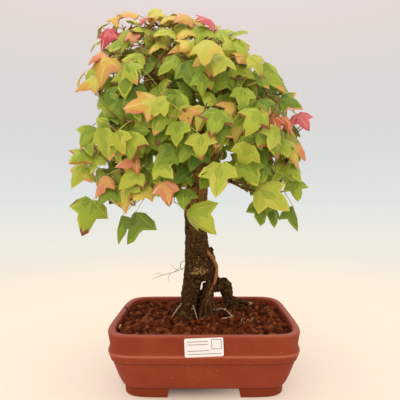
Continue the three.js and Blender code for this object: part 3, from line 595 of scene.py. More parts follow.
# Trunk, roots and limbs
# The trunk grew over a stone that was later taken away, so it stands on fused legs and arching
# roots. Three leaders carry on from its fork, and the boughs leave them. The bark is scaly.
TRUNK = [
    (-7, 2, 112, 15), (-7, 1, 140, 19), (-9, 1, 165, 17.6), (-11, 1, 190, 15.6),
    (-12.5, 0, 225, 15), (-10, 0, 253, 15.6), (-9, 0, 275, 13.4), (-3, 1, 295, 10.5),
]
TRUNK_LEGS = [
    [(-12, 0, 160, 14), (-16.5, 0, 125, 13), (-21, 0, 100, 12.2), (-26, -5, 66, 16)],
    [(0, 2, 150, 13), (9.5, 2, 127, 7), (5.5, 0, 108, 8.6), (1, -5, 66, 12)],
    [(-8, 8, 150, 14), (-14, 18, 122, 9), (-14, 26, 98, 10), (-12, 33, 66, 13)],
]
LEG_STRANDS = [
    [(2, 9, 116, 3), (-3, 9, 108, 3.4), (-6, 8, 92, 4), (-9, 5, 68, 6)],
    [(-12, 11, 118, 3), (-7, 12, 108, 3), (-3, 11, 92, 4), (-2, 8, 68, 6)],
    [(2, 1, 166, 10), (9.5, 0, 149, 8.6), (11, 1, 131, 7.6), (9, 2, 112, 7)],
]
ROOTS = {
    "root_arch": [(0, 8, 116, 7), (15, 15, 115, 8), (28, 18, 118, 10.5), (33, 19, 106, 9),
                  (36, 21, 90, 6.5), (42, 24, 66, 9)],
    "root_air": [(2, -6, 172, 2.4), (12, -10, 159, 2.7), (17.5, -9, 147, 2.3), (15, -8, 129, 2.6),
                 (8, -8, 112, 2.1), (3, -12, 96, 2)],
    "root_right_back": [(37, 22, 98, 4.4), (56, 38, 88, 3.8), (75, 57, 78, 3.2)],
    "root_right_front": [(40, 20, 94, 3.4), (52, 21, 86, 2.9), (65, 22, 77.5, 2.4)],
    "root_pale": [(4, 0, 84, 1.7), (18, 4, 86, 1.4), (29, 3, 86, 1.3), (39, -9, 80, 1.2),
                  (52, -16, 78, 1), (66, -18, 77, 0.8)],
    "root_left": [(-24, -2, 104, 2.4), (-36, 3, 94, 1.8), (-48, 13, 77, 1.4)],
}
LEADERS = {
    "leader_left": [(-5, 0, 282, 8), (-11, -2, 306, 5), (-19, -2, 325, 4.4), (-28, 0, 350, 4),
                    (-48, 0, 402, 3)],
    "leader_right": [(-1, 0, 284, 8), (12, -2, 300, 5.4), (20, 0, 313, 4.6), (36, 3, 345, 4),
                     (50, 5, 396, 3)],
    "leader_back": [(-4, 3, 283, 8), (-7, 26, 308, 5), (-11, 46, 340, 4.2), (-18, 58, 382, 3)],
}
CROWN = [
    ("top_left", "leader_left", 0.86, (-112, -5, 450), (64, 62, 52)),
    ("top_middle", "leader_left", 0.96, (-46, -18, 462), (56, 60, 42)),
    ("top_right", "leader_right", 0.9, (24, -5, 450), (58, 62, 50)),
    ("top_back", "leader_back", 0.93, (-42, 62, 438), (66, 56, 54)),
    ("upper_left", "leader_left", 0.6, (-138, 0, 378), (52, 62, 50)),
    ("upper_front_left", "leader_left", 0.52, (-62, -74, 392), (58, 56, 54)),
    ("upper_front_right", "leader_right", 0.6, (20, -76, 388), (58, 56, 54)),
    ("upper_right", "leader_right", 0.72, (88, 0, 386), (52, 62, 50)),
    ("upper_back_left", "leader_back", 0.7, (-98, 78, 378), (58, 56, 54)),
    ("upper_back_right", "leader_back", 0.78, (44, 80, 382), (62, 56, 54)),
    ("left", "leader_left", 0.22, (-142, 0, 306), (54, 62, 50)),
    ("front_left", "leader_left", 0.3, (-86, -76, 322), (58, 54, 52)),
    ("front_middle", "trunk", 0.95, (-10, -98, 326), (56, 50, 52)),
    ("front_right", "leader_right", 0.3, (62, -74, 322), (56, 54, 52)),
    ("right", "leader_right", 0.4, (108, 2, 318), (52, 60, 52)),
    ("back_middle", "leader_back", 0.45, (-16, 108, 318), (62, 50, 56)),
    ("low_left", "trunk", 0.8, (-122, -18, 236), (74, 60, 58)),
    ("low_front", "trunk", 0.74, (-34, -66, 254), (54, 50, 46)),
    ("low_right", "trunk", 0.86, (92, -14, 246), (64, 58, 56)),
    ("low_back_left", "trunk", 0.82, (-86, 74, 270), (60, 56, 56)),
    ("low_back_right", "trunk", 0.88, (66, 76, 268), (60, 56, 56)),
]
BOUGH_ENTRY = 0.6
BOUGH_ARCH = 0.12
BOUGH_BULGE = 0.02
BOUGH_RADIUS = 2.4
BOUGH_THICKENING = 1 / 60
BOUGH_TAPER = [1.15, 1, 0.86, 0.72]
BOUGH_TIP_RADIUS = 1.8
CURVE_STEPS = 16
ROUTE_STEPS = 200
STEM_FOOT = (-7, 3, 128, 11.5)
CALLUS = [(-21, -12, 137, 5.5), (-14, -15.4, 139, 7), (-5, -16.4, 142, 7), (4, -13.5, 145, 5.5)]
STUBS = [
    [(22, 16, 122, 4), (19, 13, 129, 2.6), (20.5, 12, 134, 1.4)],
    [(2, 2, 236, 3.5), (7.6, 2, 236.5, 1.6)],
    [(8, 2, 170, 5), (12.6, 1, 168.5, 3)],
    [(-22, -3, 205, 3), (-26.2, -3, 207, 1.4)],
]
# Shares of plates, rolls and crumble in the bark's height, and how sharply the plates end at a crack
BARK_SHARES = (0.5, 0.35, 0.2)
CRACK_SHARPNESS = 2.2
BARK_STRETCH = 0.5
BARK_MEAN_HEIGHT = 0.35
# Heights in metres between which the bark's colours change, and where along them each one stands
BARK_RANGE = (0.075, 0.3)
BARK_STOPS = [0.0, 0.4, 0.54, 0.66]
EDGE_RAGGEDNESS = 0.5
EDGE_WAVES_PER_M = 260


def curve_through(route, count):
    """Evenly spaced rows along a smooth curve through the route: x, y, z and radius."""
    rows = np.array(route, float)
    rows = np.vstack([2 * rows[0] - rows[1], rows, 2 * rows[-1] - rows[-2]])
    fine = []
    for a, b, c, d in zip(rows, rows[1:], rows[2:], rows[3:]):
        ab, bc, cd = (np.linalg.norm((q - p)[:3]) ** 0.5 for p, q in ((a, b), (b, c), (c, d)))
        for t in np.linspace(0, bc, CURVE_STEPS, endpoint=False):
            ab_part = b + (b - a) * t / ab
            bc_part = b + (c - b) * t / bc
            cd_part = c + (d - c) * (t - bc) / cd
            early = ab_part + (bc_part - ab_part) * (t + ab) / (ab + bc)
            late = bc_part + (cd_part - bc_part) * t / (bc + cd)
            fine.append(early + (late - early) * t / bc)
    fine.append(rows[-2])
    fine = np.array(fine)
    walked = np.concatenate([[0], np.cumsum(np.linalg.norm(np.diff(fine[:, :3], axis=0), axis=1))])
    even = np.linspace(0, walked[-1], count + 1)
    return np.stack([np.interp(even, walked, fine[:, axis]) for axis in range(4)], 1)


def rings_along(rows, sides):
    """Rings of points round a centre line of rows, without a twist."""
    spots, radii = rows[:, :3], rows[:, 3]
    headings = np.gradient(spots, axis=0)
    headings /= np.linalg.norm(headings, axis=1)[:, None]
    side = np.cross(headings[0], (0.3, 0.2, 1))
    turn = np.linspace(0, 2 * math.pi, sides, endpoint=False)
    rings = []
    for spot, radius, heading in zip(spots, radii, headings):
        side = side - heading * side.dot(heading)
        side /= np.linalg.norm(side)
        other = np.cross(heading, side)
        rings.append(spot + radius * (np.cos(turn)[:, None] * side + np.sin(turn)[:, None] * other))
    return rings


def make_limb(name, route, sides, spacing=5):
    """A tapering round limb, extruded along its route."""
    length = sum(math.dist(a[:3], b[:3]) for a, b in zip(route, route[1:]))
    return raise_rings(name, rings_along(curve_through(route, max(3, round(length / spacing))), sides))


def bough_route(start, centre, reach):
    """A bough leaves its limb, arches upwards a little and ends where it enters its mass."""
    inward = start - centre
    tip = centre + inward * BOUGH_ENTRY / np.linalg.norm(inward / reach)
    length = np.linalg.norm(tip - start)
    up = np.array([0, 0, 1])
    middle = (start + tip) / 2 + up * BOUGH_ARCH * length
    bulge = up * BOUGH_BULGE * length
    places = [start, (start + middle) / 2 + bulge, middle, (middle + tip) / 2 + bulge]
    base = BOUGH_RADIUS + length * BOUGH_THICKENING
    return [*((*place, base * taper) for place, taper in zip(places, BOUGH_TAPER)), (*tip, BOUGH_TIP_RADIUS)]


MASSES = []
for name, parent, at, centre, reach in CROWN:
    rows = curve_through(TRUNK if parent == "trunk" else LEADERS[parent], ROUTE_STEPS)
    centre, reach = np.array(centre, float), np.array(reach, float)
    route = bough_route(rows[round(at * ROUTE_STEPS), :3], centre, reach)
    MASSES.append({"name": name, "centre": centre, "reach": reach, "route": route})


def bark_height(place):
    """Height of the bark at a place, as a share: plates with cracks between them, and a fine crumble."""
    at = Vector((place.x, place.y, place.z * BARK_STRETCH))
    near, next_near = noise.voronoi(at)[0][:2]
    plates = min((next_near - near) * CRACK_SHARPNESS, 1)
    heights = (plates, noise.fractal(at * 0.6, 0.9, 2.1, 3), noise.noise(at * 3))
    return sum(share * height for share, height in zip(BARK_SHARES, heights))


def raise_bark(piece, depth, plate):
    """Moves each point of a limb's surface in or out by the bark's height, in millimetres."""
    mesh = piece.data
    spots = np.empty(len(mesh.vertices) * 3)
    mesh.vertices.foreach_get("co", spots)
    spots = spots.reshape(-1, 3)
    normals = np.empty(len(mesh.vertices) * 3)
    mesh.vertex_normals.foreach_get("vector", normals)
    heights = np.array([bark_height(Vector(spot) / (plate * MM)) for spot in spots])
    spots = spots + normals.reshape(-1, 3) * ((heights - BARK_MEAN_HEIGHT) * depth * MM)[:, None]
    mesh.vertices.foreach_set("co", spots.ravel())
    mesh.update()


def fuse_limbs(limbs, name, voxel, depth, plate):
    """Grows several limbs into one body with soft junctions, and gives it bark."""
    piece = join_pieces(limbs, name)
    apply_modifier(piece, "REMESH", mode="VOXEL", voxel_size=voxel * MM)
    apply_modifier(piece, "SMOOTH", factor=0.5, iterations=5)
    raise_bark(piece, depth, plate)
    piece.data.polygons.foreach_set("use_smooth", [True] * len(piece.data.polygons))
    return piece


def colour_ramp(tree, share, stops):
    """The colour at a share from 0 to 1 between stops, each a position and a colour."""
    made = node(tree, "ValToRGB", {"Fac": share})
    for position, _ in stops[1:-1]:
        made.color_ramp.elements.new(position)
    for element, (position, colour) in zip(made.color_ramp.elements, stops):
        element.position = position
        element.color = linear(colour)
    return made.outputs["Color"]


def make_bark(name, colours, fleck, crack, fleck_from=0.62):
    """Bark whose colour changes from the soil up to the fork, with pale flecks and dark cracks."""
    material, tree, shader = new_material(name, roughness=0.88, specular=0.12)
    body = colour_ramp(tree, between(tree, height_in(tree), *BARK_RANGE), list(zip(BARK_STOPS, colours)))
    grain = add_grain(tree, patches=130, pores=1100, stretch=(1, 1, 0.45))
    fine = add_grain(tree, patches=420, pores=2200, stretch=(1, 1, 0.7))
    body = blend_colours(tree, between(tree, grain.outputs["Tone"], 0.55, 0.1), body, linear(crack))
    flecks = between(tree, fine.outputs["Tone"], fleck_from, fleck_from + 0.2)
    body = blend_colours(tree, flecks, body, linear(fleck))
    tree.links.new(body, shader.inputs["Base Color"])
    vary_roughness(tree, shader, fine.outputs["Tone"], low=0.78, high=0.98)
    add_bump(tree, shader, grain.outputs["Height"], distance=0.0014)
    return material


BARK = make_bark("bark", [(76, 46, 26), (70, 47, 21), (96, 66, 33), (160, 113, 66)],
                 (146, 114, 64), (36, 20, 10))
AIR_BARK = make_bark("air_root_bark", [(150, 92, 50), (186, 124, 74), (178, 116, 68), (150, 100, 60)],
                     (216, 166, 112), (78, 44, 24))
PALE_BARK = make_bark("pale_root_bark", [(196, 164, 130), (196, 164, 130), (190, 150, 110), (150, 112, 72)],
                      (228, 204, 174), (112, 78, 52), fleck_from=0.5)
# The callus lip's ochre: partly its own tint, partly painted highlight on its front and top
CALLUS_OCHRE_AND_HIGHLIGHT = make_bark("callus_bark", [(118, 82, 36), (118, 84, 38), (116, 84, 36), (116, 84, 36)],
                       (190, 150, 88), (72, 46, 22), fleck_from=0.5)


def paint_by_place(piece, material, low, high):
    """Gives a second material to the faces between two corners in millimetres, with a ragged edge."""
    piece.data.materials.append(material)
    middle = (np.array(low) + high) / 2
    half = (np.array(high) - low) / 2
    for face in piece.data.polygons:
        away = np.linalg.norm(((np.array(face.center) - MIDDLE) / MM - middle) / half)
        if away + EDGE_RAGGEDNESS * noise.noise(face.center * EDGE_WAVES_PER_M) < 0.9:
            face.material_index = len(piece.data.materials) - 1


trunk_limbs = [make_limb("stem", [STEM_FOOT, *TRUNK[1:]], sides=28), make_limb("callus", CALLUS, sides=16)]
trunk_limbs += [make_limb("leg", leg, sides=20) for leg in [*TRUNK_LEGS, *LEG_STRANDS]]
trunk_limbs += [make_limb("arch", ROOTS["root_arch"], sides=18)]
trunk_limbs += [make_limb("stub", stub, sides=10, spacing=2) for stub in STUBS]
trunk = fuse_limbs(trunk_limbs, "trunk_bark", voxel=0.85, depth=1.9, plate=3.4)
give_material(trunk, BARK, "bark", "trunk", "root_arch")
# The ochre patch on the callus lip: partly its own tint, partly painted highlight
paint_by_place(trunk, CALLUS_OCHRE_AND_HIGHLIGHT, (-19, -26, 138), (6, -16, 150))

root_limbs = [make_limb(name, route, sides=10, spacing=3) for name, route in ROOTS.items()
              if name in ("root_right_back", "root_right_front", "root_left")]
roots = fuse_limbs(root_limbs, "roots_bark", voxel=0.55, depth=0.9, plate=2.4)
give_material(roots, BARK, "bark", "root_right_back", "root_right_front", "root_left")
paint_by_place(roots, PALE_BARK, (61, 42, 68), (86, 68, 92))
for name, material in (("root_air", AIR_BARK), ("root_pale", PALE_BARK)):
    limb = make_limb(name, ROOTS[name], sides=10, spacing=3)
    give_material(fuse_limbs([limb], name + "_bark", voxel=0.45, depth=0.9, plate=3), material, "bark", name)

crown_limbs = [make_limb(name, route, sides=12) for name, route in LEADERS.items()]
crown_limbs += [make_limb("bough", mass["route"], sides=10) for mass in MASSES]
limbs = fuse_limbs(crown_limbs, "limbs_bark", voxel=0.8, depth=0.5, plate=2.2)
give_material(limbs, BARK, "bark", *LEADERS, *["bough_" + mass["name"] for mass in MASSES])

# Fine roots
# Thin roots that the soil has washed off: strands under the arch, pale forked ones on the soil and
# dry hair roots that stand out from the trunk on the left.
FINE_ROOTS = {
    "dark": [
        [(4, -10, 112, 1.3), (3, -15, 96, 1.2), (2, -19, 76, 1.0)],
        [(6, -9, 110, 1.3), (9, -15, 94, 1.1), (13, -19, 76, 0.9)],
        [(8, -8, 108, 1.2), (14, -12, 95, 1.0), (20, -15, 76, 0.8)],
        [(0, -8, 100, 1.2), (-4, -14, 88, 1.1), (-6, -20, 76, 0.9)],
        [(36, 18, 94, 1.3), (30, 12, 84, 1.0), (26, 6, 77, 0.8)],
        [(-28, -12, 84, 1.2), (-20, -20, 79, 1.0), (-6, -22, 78, 0.8), (8, -21, 77, 0.7)],
    ],
    "pale": [
        [(-15, -17, 97, 0.6), (-12, -19, 89, 0.6), (-9, -21, 79, 0.5)],
        [(-12, -19, 89, 0.5), (-14, -20, 93, 0.4), (-17, -20, 92, 0.3)],
        [(-30, -7, 98, 0.9), (-38, -10, 88, 0.8), (-45, -12, 78, 0.6)],
        [(39, -9, 80, 0.9), (33, -14, 79, 0.8), (24, -16, 79, 0.7)],
        [(52, -16, 78, 0.7), (50, -24, 78, 0.6), (54, -33, 77.5, 0.5), (52, -40, 77, 0.3)],
        [(60, -17, 77.6, 0.6), (66, -13, 78, 0.5), (75, -14, 78, 0.4)],
        [(54, -33, 77.5, 0.4), (60, -38, 77.5, 0.3), (63, -46, 77, 0.3)],
        [(29, 3, 86, 0.8), (24, 8, 85, 0.7), (16, 6, 82, 0.6)],
    ],
    "hair": [
        [(-24, 0, 155, 0.45), (-31, 0, 153, 0.4), (-33, -1, 146, 0.35), (-30, -1, 141, 0.3)],
        [(-24, 0, 146, 0.45), (-36, 0, 141, 0.38), (-46, 1, 137.5, 0.32), (-58, 2, 134, 0.26),
         (-74, 3, 128, 0.18)],
        [(-46, 1, 137.5, 0.3), (-50, -2, 131, 0.22), (-49, -4, 127, 0.14)],
        [(-36, 0, 141, 0.3), (-42, 3, 144, 0.22), (-47, 5, 149, 0.14)],
        [(-58, 2, 134, 0.22), (-63, 0, 137, 0.18), (-68, -1, 136, 0.14)],
        [(-33, -1, 146, 0.3), (-37, -3, 143, 0.22), (-41, -4, 138, 0.14)],
    ],
}


def tube(rows, sides):
    """A closed tapering tube along rows of x, y, z and radius, as points and faces."""
    rings = rings_along(rows, sides)
    points = np.concatenate(rings)
    faces = [list(range(sides))[::-1], [len(points) - sides + i for i in range(sides)]]
    for row in range(len(rings) - 1):
        for i in range(sides):
            j = (i + 1) % sides
            low, high = row * sides, (row + 1) * sides
            faces.append([low + i, low + j, high + j, high + i])
    return points, faces


def plain_tube(route, steps, sides, slot):
    """A tube along a smooth curve, all in one material."""
    points, faces = tube(curve_through(route, steps), sides)
    return points, faces, [slot] * len(faces)


def make_fibre(name, colour, roughness=(0.68, 0.92)):
    """The skin of thin roots, twigs or leaf stalks, with a grain that runs along them."""
    return make_plain(name, colour, roughness, 0.15, patches=260, pores=1800, relief=0.0004,
                      stretch=(1, 1, 0.5))


FINE_ROOT_SKINS = {"dark": (100, 66, 38), "pale": (208, 182, 152), "hair": (84, 78, 68)}
fine_roots = joined_mesh(
    "fine_roots",
    [plain_tube(route, steps=4 * len(route), sides=7, slot=slot)
     for slot, kind in enumerate(FINE_ROOT_SKINS) for route in FINE_ROOTS[kind]],
    [make_fibre("root_" + kind, colour) for kind, colour in FINE_ROOT_SKINS.items()],
)
finish_piece(fine_roots, "bark")

# Tie wire
# The end of the dark aluminium wire that holds the roots in the pot comes up by the left wall.
WIRE = [(-104, 6, 70, 0.9), (-105, 2, 79, 0.9), (-107, -1, 87, 0.9), (-110, -2, 91, 0.9)]
WIRE_SKIN = (52, 34, 28)
wire_tube = plain_tube(WIRE, steps=10, sides=8, slot=0)
wire = joined_mesh("tie_wire", [wire_tube], [make_fibre("wire", WIRE_SKIN, (0.33, 0.57))])
finish_piece(wire, "bark")

# Leaves and twigs
# Each bough ends in a stem that forks into shoots and side twigs. Three-lobed leaves hang from them
# on long thin stalks, green inside the crown and turning yellow, orange and pink outside and above.
CROWN_HEART = np.array([-15, 0, 330])
CROWN_REACH = np.array([165, 118, 165])
STEM_SHARE = 1.15
SHOOTS = 5
ROUNDS = 3
SHOOT_LIFT = 0.16
SHOOT_REACH = 0.44
SHOOT_REACH_SPREAD = 0.3
SIDE_TWIGS = 3
SIDE_TWIG_LENGTH = (12, 24)
LEAVES = 24
LEAVES_OF = {
    "left": 16, "low_left": 21, "low_front": 18, "low_right": 14, "right": 16,
    "top_left": 31, "top_middle": 34, "top_right": 30, "back_middle": 28, "top_back": 28,
}
LEAF_TRIES = 18
LEAF_LENGTH = (26, 41)
PETIOLE_LENGTH = (16, 32)
GOLDEN_ANGLE = 2.39996
FIRST_SEED = 101
FRONT_FACING = 0.8
OUTWARD_LEAN = np.array([1, 1, 0.45])
BACK_FACING = 25
HIGH_LEAVES = (390, 470)
HIGH_SHORTENING = 0.22
LEAF_CLEARANCE = 2.6
LIMB_CLEARANCE = 2.0
TWIG_CLEARANCE = 1.6
NEAR_TWIGS = 45
NEAR_LEAVES = 62
BOX_PLAY = 3
SHOWN_ROOM = 13
TWIG_MARGIN = 7
# Radii of each kind of twig at its root and its tip
STEM, SHOOT, SIDE_TWIG = (1.8, 1.1), (1.15, 0.7), (0.75, 0.5)
SHOWN_TWIG, SHORT_TWIG = (1.1, 0.9), (0.8, 0.5)
SHORTER_EACH_TRY = 0.08
SHORTEST_REACH = 0.2
TRUNK_STEPS = 24
LIMB_STEPS = 12
STEM_GAP = 0.3
STEM_OVERLAP = 2
STEM_BEND = 2
# Shares of the stem between which shoots fork off, and how far before its target each one does
FORK_RANGE = (0.1, 0.95)
FORK_BEFORE = 0.12
SHOOT_BEND = 2.5
SHOOT_SAG = -1
SHOOT_SAG_SPREAD = 2
# Share of a shoot at its first side twig, the part of it that they are spread over, and their slant
FIRST_SIDE_TWIG = 0.4
SIDE_TWIG_RANGE = 0.5
SIDE_TWIG_SLANT = 0.7

# How leaves turn: the looseness of a stalk's direction, which grows with each try, spreads across,
# along and up of the way they face and of the way they hang, and how much high leaves differ
STALK_LOOSENESS = 0.5
LOOSER_EACH_TRY = 0.1
FACING_SPREADS = (0.85, 0.6, 0.65)
HANGING_SPREADS = (0.7, 0.6)
UPWARD_FACING = 0.3
HIGH_UPWARD_FACING = 0.5
HIGH_FACING_LOSS = 0.55
STALK_PULL = 0.75
LEAST_FALL = -0.4
SITE_STEP = 7
FIRST_SITE = 3
LEAVES_A_SITE = 3

# Right half of a leaf's outline from its base to its tip, as shares of its length: across and along
HALF_OUTLINE = [(0.22, -0.03), (0.45, 0.12), (0.58, 0.405), (0.275, 0.465), (0.25, 0.62), (0.13, 0.84)]
LOBE_TIP = 2
RING_SHARES = [0.5, 0.87, 1.0]
VEIN_WIDTH = 0.022
UNDER_HEART = (0.0, 0.44)
LEAF_THICKNESS = 1.1
LEAF_RAGGEDNESS = 0.022
LEAF_PUFF = 0.03
VEIN, UNDERSIDE = 3, 4
# Middle and spread of each measure of a grown leaf and of one that is placed to show
GROWN_SHAPE = {
    "width": (0.94, 0.14), "fold": (0.18, 0.4), "hang": (0.35, 0.3), "wave": (0, 0.06), "phase": (0, 3.1),
    "bend": (0.5, 0.35),
}
SHOWN_SHAPE = {
    "width": (0.98, 0.1), "hang": (0.22, 0.15), "wave": (0, 0.05), "phase": (0, 3.1), "bend": (0.26, 0.12),
}

# A leaf's tone is a place in the row of tints. It rises from the heart of the crown outwards, and the
# darkest greens at the heart are partly painted shade. A few leaves are orange or red, and fewer in front,
# where the ones that show are hung one by one
TONE_AT_HEART = 0.6
TONE_OUTWARD = 3.2
TONE_UPWARD = 3
TONE_DOWNWARD = 1.8
TONE_SPREAD = 2.4
RIPEST_TONE = 8.6
ORANGE_TONE = 9
ORANGE_TONE_RISE = 18
ORANGE_SHARE = 0.09
FRONT_ORANGE_SHARE = 0.03
ORANGE_FROM = 420
RED_TONE = 12.6
RED_SHARE = 0.015


def leaf_template():
    """Flat places of a leaf's points and their share along their ray, its faces, and of each face its
    ring, its heading and whether it is at a tip. A vein is a pair of rays that end at one tip."""
    outline = HALF_OUTLINE + [(0, 1)] + [(-x, y) for x, y in HALF_OUTLINE[::-1]]
    count = len(HALF_OUTLINE)
    vein_ends = {LOBE_TIP, count, 2 * count - LOBE_TIP}
    flat, share, rays = [(0.0, 0.0), UNDER_HEART], [0.0, 0.0], []
    for i, end in enumerate(np.array(outline, float)):
        across = np.array([-end[1], end[0]]) / np.linalg.norm(end)
        for side in ((-1, 1) if i in vein_ends else (0,)):
            row = [0]
            for ring in RING_SHARES:
                if ring == 1 and side == 1:
                    row.append(rays[-1][1][-1])
                    continue
                flat.append(tuple(end * ring + across * side * VEIN_WIDTH / 2 * (1.2 - ring)))
                share.append(ring)
                row.append(len(flat) - 1)
            rays.append((i, row))
    faces, rings, headings, tips = [], [], [], []

    def add_face(corners, ring, near_tip=False):
        corners = list(dict.fromkeys(corners))
        across, along = np.mean([flat[corner] for corner in corners], axis=0)
        faces.append(corners)
        rings.append(ring)
        headings.append(math.atan2(across, along))
        tips.append(near_tip)

    for (i, row), (j, next_row) in zip(rays, rays[1:]):
        for ring in range(len(RING_SHARES)):
            near_tip = ring == 2 and bool({i, j} & vein_ends)
            corners = [row[ring], row[ring + 1], next_row[ring + 1], next_row[ring]]
            add_face(corners, VEIN if i == j else ring, near_tip)
        if i != j:
            add_face([1, next_row[-1], row[-1]], UNDERSIDE)
    add_face([1, *rays[0][1][::-1]], UNDERSIDE)
    add_face([1, *rays[-1][1]], UNDERSIDE)
    return np.array(flat), np.array(share), faces, np.array(rings), np.array(headings), np.array(tips)


FLAT, SHARE, LEAF_FACES, FACE_RING, FACE_HEADING, FACE_TIP = leaf_template()
PUFF = np.where(SHARE == RING_SHARES[0], 1, np.where(SHARE == RING_SHARES[1], 0.55, 0))
UNDER = np.arange(len(FLAT)) == 1
SAMPLES = np.flatnonzero(SHARE != RING_SHARES[1])


def leaf_points(leaf):
    """Places of a leaf's points: folded along its midrib, each lobe swung a little, its tips hanging."""
    ragged = LEAF_RAGGEDNESS * SHARE * np.sin(leaf["phase"] * 3 * np.arange(len(FLAT)))
    u = (FLAT[:, 0] + ragged) * leaf["width"]
    v = FLAT[:, 1] - ragged + abs(u) * np.where(u > 0, *leaf["lobes"])
    lift = -leaf["fold"] * abs(u) + LEAF_PUFF * PUFF
    lift -= leaf["hang"] * np.maximum(0, np.hypot(u, v) - 0.4) ** 2
    lift += leaf["wave"] * np.sin(7 * v + 5 * u + leaf["phase"]) * abs(u)
    lift -= UNDER * LEAF_THICKNESS / leaf["length"]
    bend = leaf["bend"] * v
    along = np.sin(bend) / leaf["bend"] + lift * np.sin(bend)
    out = -(1 - np.cos(bend)) / leaf["bend"] + lift * np.cos(bend)
    side = np.cross(leaf["midrib"], leaf["normal"])
    return leaf["base"] + leaf["length"] * (
        u[:, None] * side + along[:, None] * leaf["midrib"] + out[:, None] * leaf["normal"]
    )


def seeded(seed):
    """A row of chance numbers from 0 to 1, always the same for the same seed."""
    state = seed
    while True:
        state = state * 48271 % 2147483647
        yield state / 2147483647


def unit(vector):
    """A vector of the same direction and length 1."""
    return vector / np.linalg.norm(vector)


limb_routes = [*TRUNK_LEGS, *ROOTS.values(), *LEADERS.values(), *(mass["route"] for mass in MASSES)]
limb_rows = [curve_through(route, LIMB_STEPS) for route in limb_routes]
LIMB_ROWS = np.concatenate([curve_through(TRUNK, TRUNK_STEPS), *limb_rows])
twig_routes = []
twig_parents = []
twig_spots = []
twig_owners = []
carrying = set()
leaves = []
leaf_spots = []
leaf_middles = []


def spreads_of(draws):
    """Draws from minus an amount to plus that amount."""
    return lambda amount: amount * (2 * next(draws) - 1)


def varied(shape, spread):
    """A leaf's measures, drawn one after another, each from its middle and its spread."""
    return {measure: middle + spread(amount) for measure, (middle, amount) in shape.items()}


def add_twig(start, end, radii, sag, parent=None):
    """A twig with a slight bend, kept as a route and as spots that leaves stay off; returns its number."""
    middle = (start + end) / 2 + sag
    route = [(*start, radii[0]), (*middle, sum(radii) / 2), (*end, radii[1])]
    spots = curve_through(route, max(2, int(np.linalg.norm(end - start) / 4)))[:, :3]
    twig_routes.append(route)
    twig_parents.append(parent)
    twig_spots.extend(spots)
    twig_owners.extend([len(twig_routes) - 1] * len(spots))
    return len(twig_routes) - 1


def off_limbs(spots):
    """True if none of the spots lies on or close to the trunk, a root, a leader or a bough."""
    apart = np.linalg.norm(spots[:, None] - LIMB_ROWS[None, :, :3], axis=2)
    return bool(np.all(apart > LIMB_ROWS[:, 3] + LIMB_CLEARANCE))


def in_reach(mass, spots):
    """True if all spots lie within the reach of a mass."""
    return bool(np.all(np.linalg.norm((spots - mass["centre"]) / mass["reach"], axis=1) <= 1))


# Where the crown's edges show in the photographed frame: row, left and right, and its underside
VIEW_CENTRE = (204, 200)
VIEW_SCALE = 402
EYE = (-562, 239.5)
CROWN_EDGES = np.array([
    (11, 126, 160), (19, 103, 213), (28, 96, 228), (43, 91, 247), (60, 88, 266), (72, 82, 284),
    (89, 72, 289), (98, 96, 294), (112, 96, 303), (122, 82, 311), (153, 77, 310), (164, 70, 306),
    (250, 70, 302),
], float)
CROWN_UNDERSIDE = np.array([
    (66, 190), (98, 192), (106, 200), (128, 212), (145, 200), (178, 197), (196, 178), (206, 168), (216, 176),
    (235, 190), (262, 200), (290, 196), (306, 190),
], float)


def in_crown_view(spots, margin=0):
    """True if spots show inside the crown's edges from the front and above its underside."""
    scale = VIEW_SCALE / (spots[:, 1] - EYE[0])
    px = VIEW_CENTRE[0] + spots[:, 0] * scale
    py = VIEW_CENTRE[1] - (spots[:, 2] - EYE[1]) * scale
    left, right = (np.interp(py, CROWN_EDGES[:, 0], CROWN_EDGES[:, side]) for side in (1, 2))
    low = np.interp(px, CROWN_UNDERSIDE[:, 0], CROWN_UNDERSIDE[:, 1])
    inside = (py > CROWN_EDGES[0, 0] + margin) & (px > left + margin) & (px < right - margin)
    return bool(np.all(inside & (py < low - margin)))


def in_box(spots):
    """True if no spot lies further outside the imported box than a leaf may."""
    low, high = ((np.array(corner) - MIDDLE) / MM for corner in cad_box)
    return bool(np.all((spots > low - BOX_PLAY) & (spots < high + BOX_PLAY)))


def twig_has_room(end):
    """True if a twig's end keeps inside the crown, as it shows from the front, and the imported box."""
    return in_crown_view(end[None], TWIG_MARGIN) and in_box(end[None])


def off_leaves(spots, middle):
    """True if none of the spots is too near to a leaf that hangs already."""
    if not leaf_middles:
        return True
    near = np.flatnonzero(np.linalg.norm(np.array(leaf_middles) - middle, axis=1) < NEAR_LEAVES)
    if not len(near):
        return True
    others = np.concatenate([leaf_spots[i] for i in near])
    return bool(np.linalg.norm(spots[:, None] - others[None], axis=2).min() > LEAF_CLEARANCE)


def hides_shown_leaf(middle):
    """True if a leaf here would hang before one of the leaves that show best from the front."""
    shown = np.array(leaf_middles[:len(SHOWN_LEAVES)])
    (x, y, z), behind = middle, shown[shown[:, 1] > middle[1]]
    apart = np.hypot(
        behind[:, 0] / (behind[:, 1] - EYE[0]) - x / (y - EYE[0]),
        (behind[:, 2] - EYE[1]) / (behind[:, 1] - EYE[0]) - (z - EYE[1]) / (y - EYE[0]),
    )
    return bool(np.any(apart * VIEW_SCALE < SHOWN_ROOM))


def hang_leaf(leaf, mass=None):
    """Keeps a leaf if it has room; a leaf without a mass is one that was listed."""
    points = leaf_points(leaf)
    spots = points[SAMPLES]
    middle = spots.mean(axis=0)
    if mass is not None:
        if not (in_reach(mass, spots) and in_box(spots) and in_crown_view(spots) and off_limbs(spots)):
            return False
        near = twig_array[np.linalg.norm(twig_array - middle, axis=1) < NEAR_TWIGS]
        if len(near) and np.linalg.norm(spots[:, None] - near[None], axis=2).min() < TWIG_CLEARANCE:
            return False
        if not off_leaves(spots, middle) or hides_shown_leaf(middle):
            return False
    leaf["points"] = points
    leaves.append(leaf)
    leaf_spots.append(spots)
    leaf_middles.append(middle)
    return True


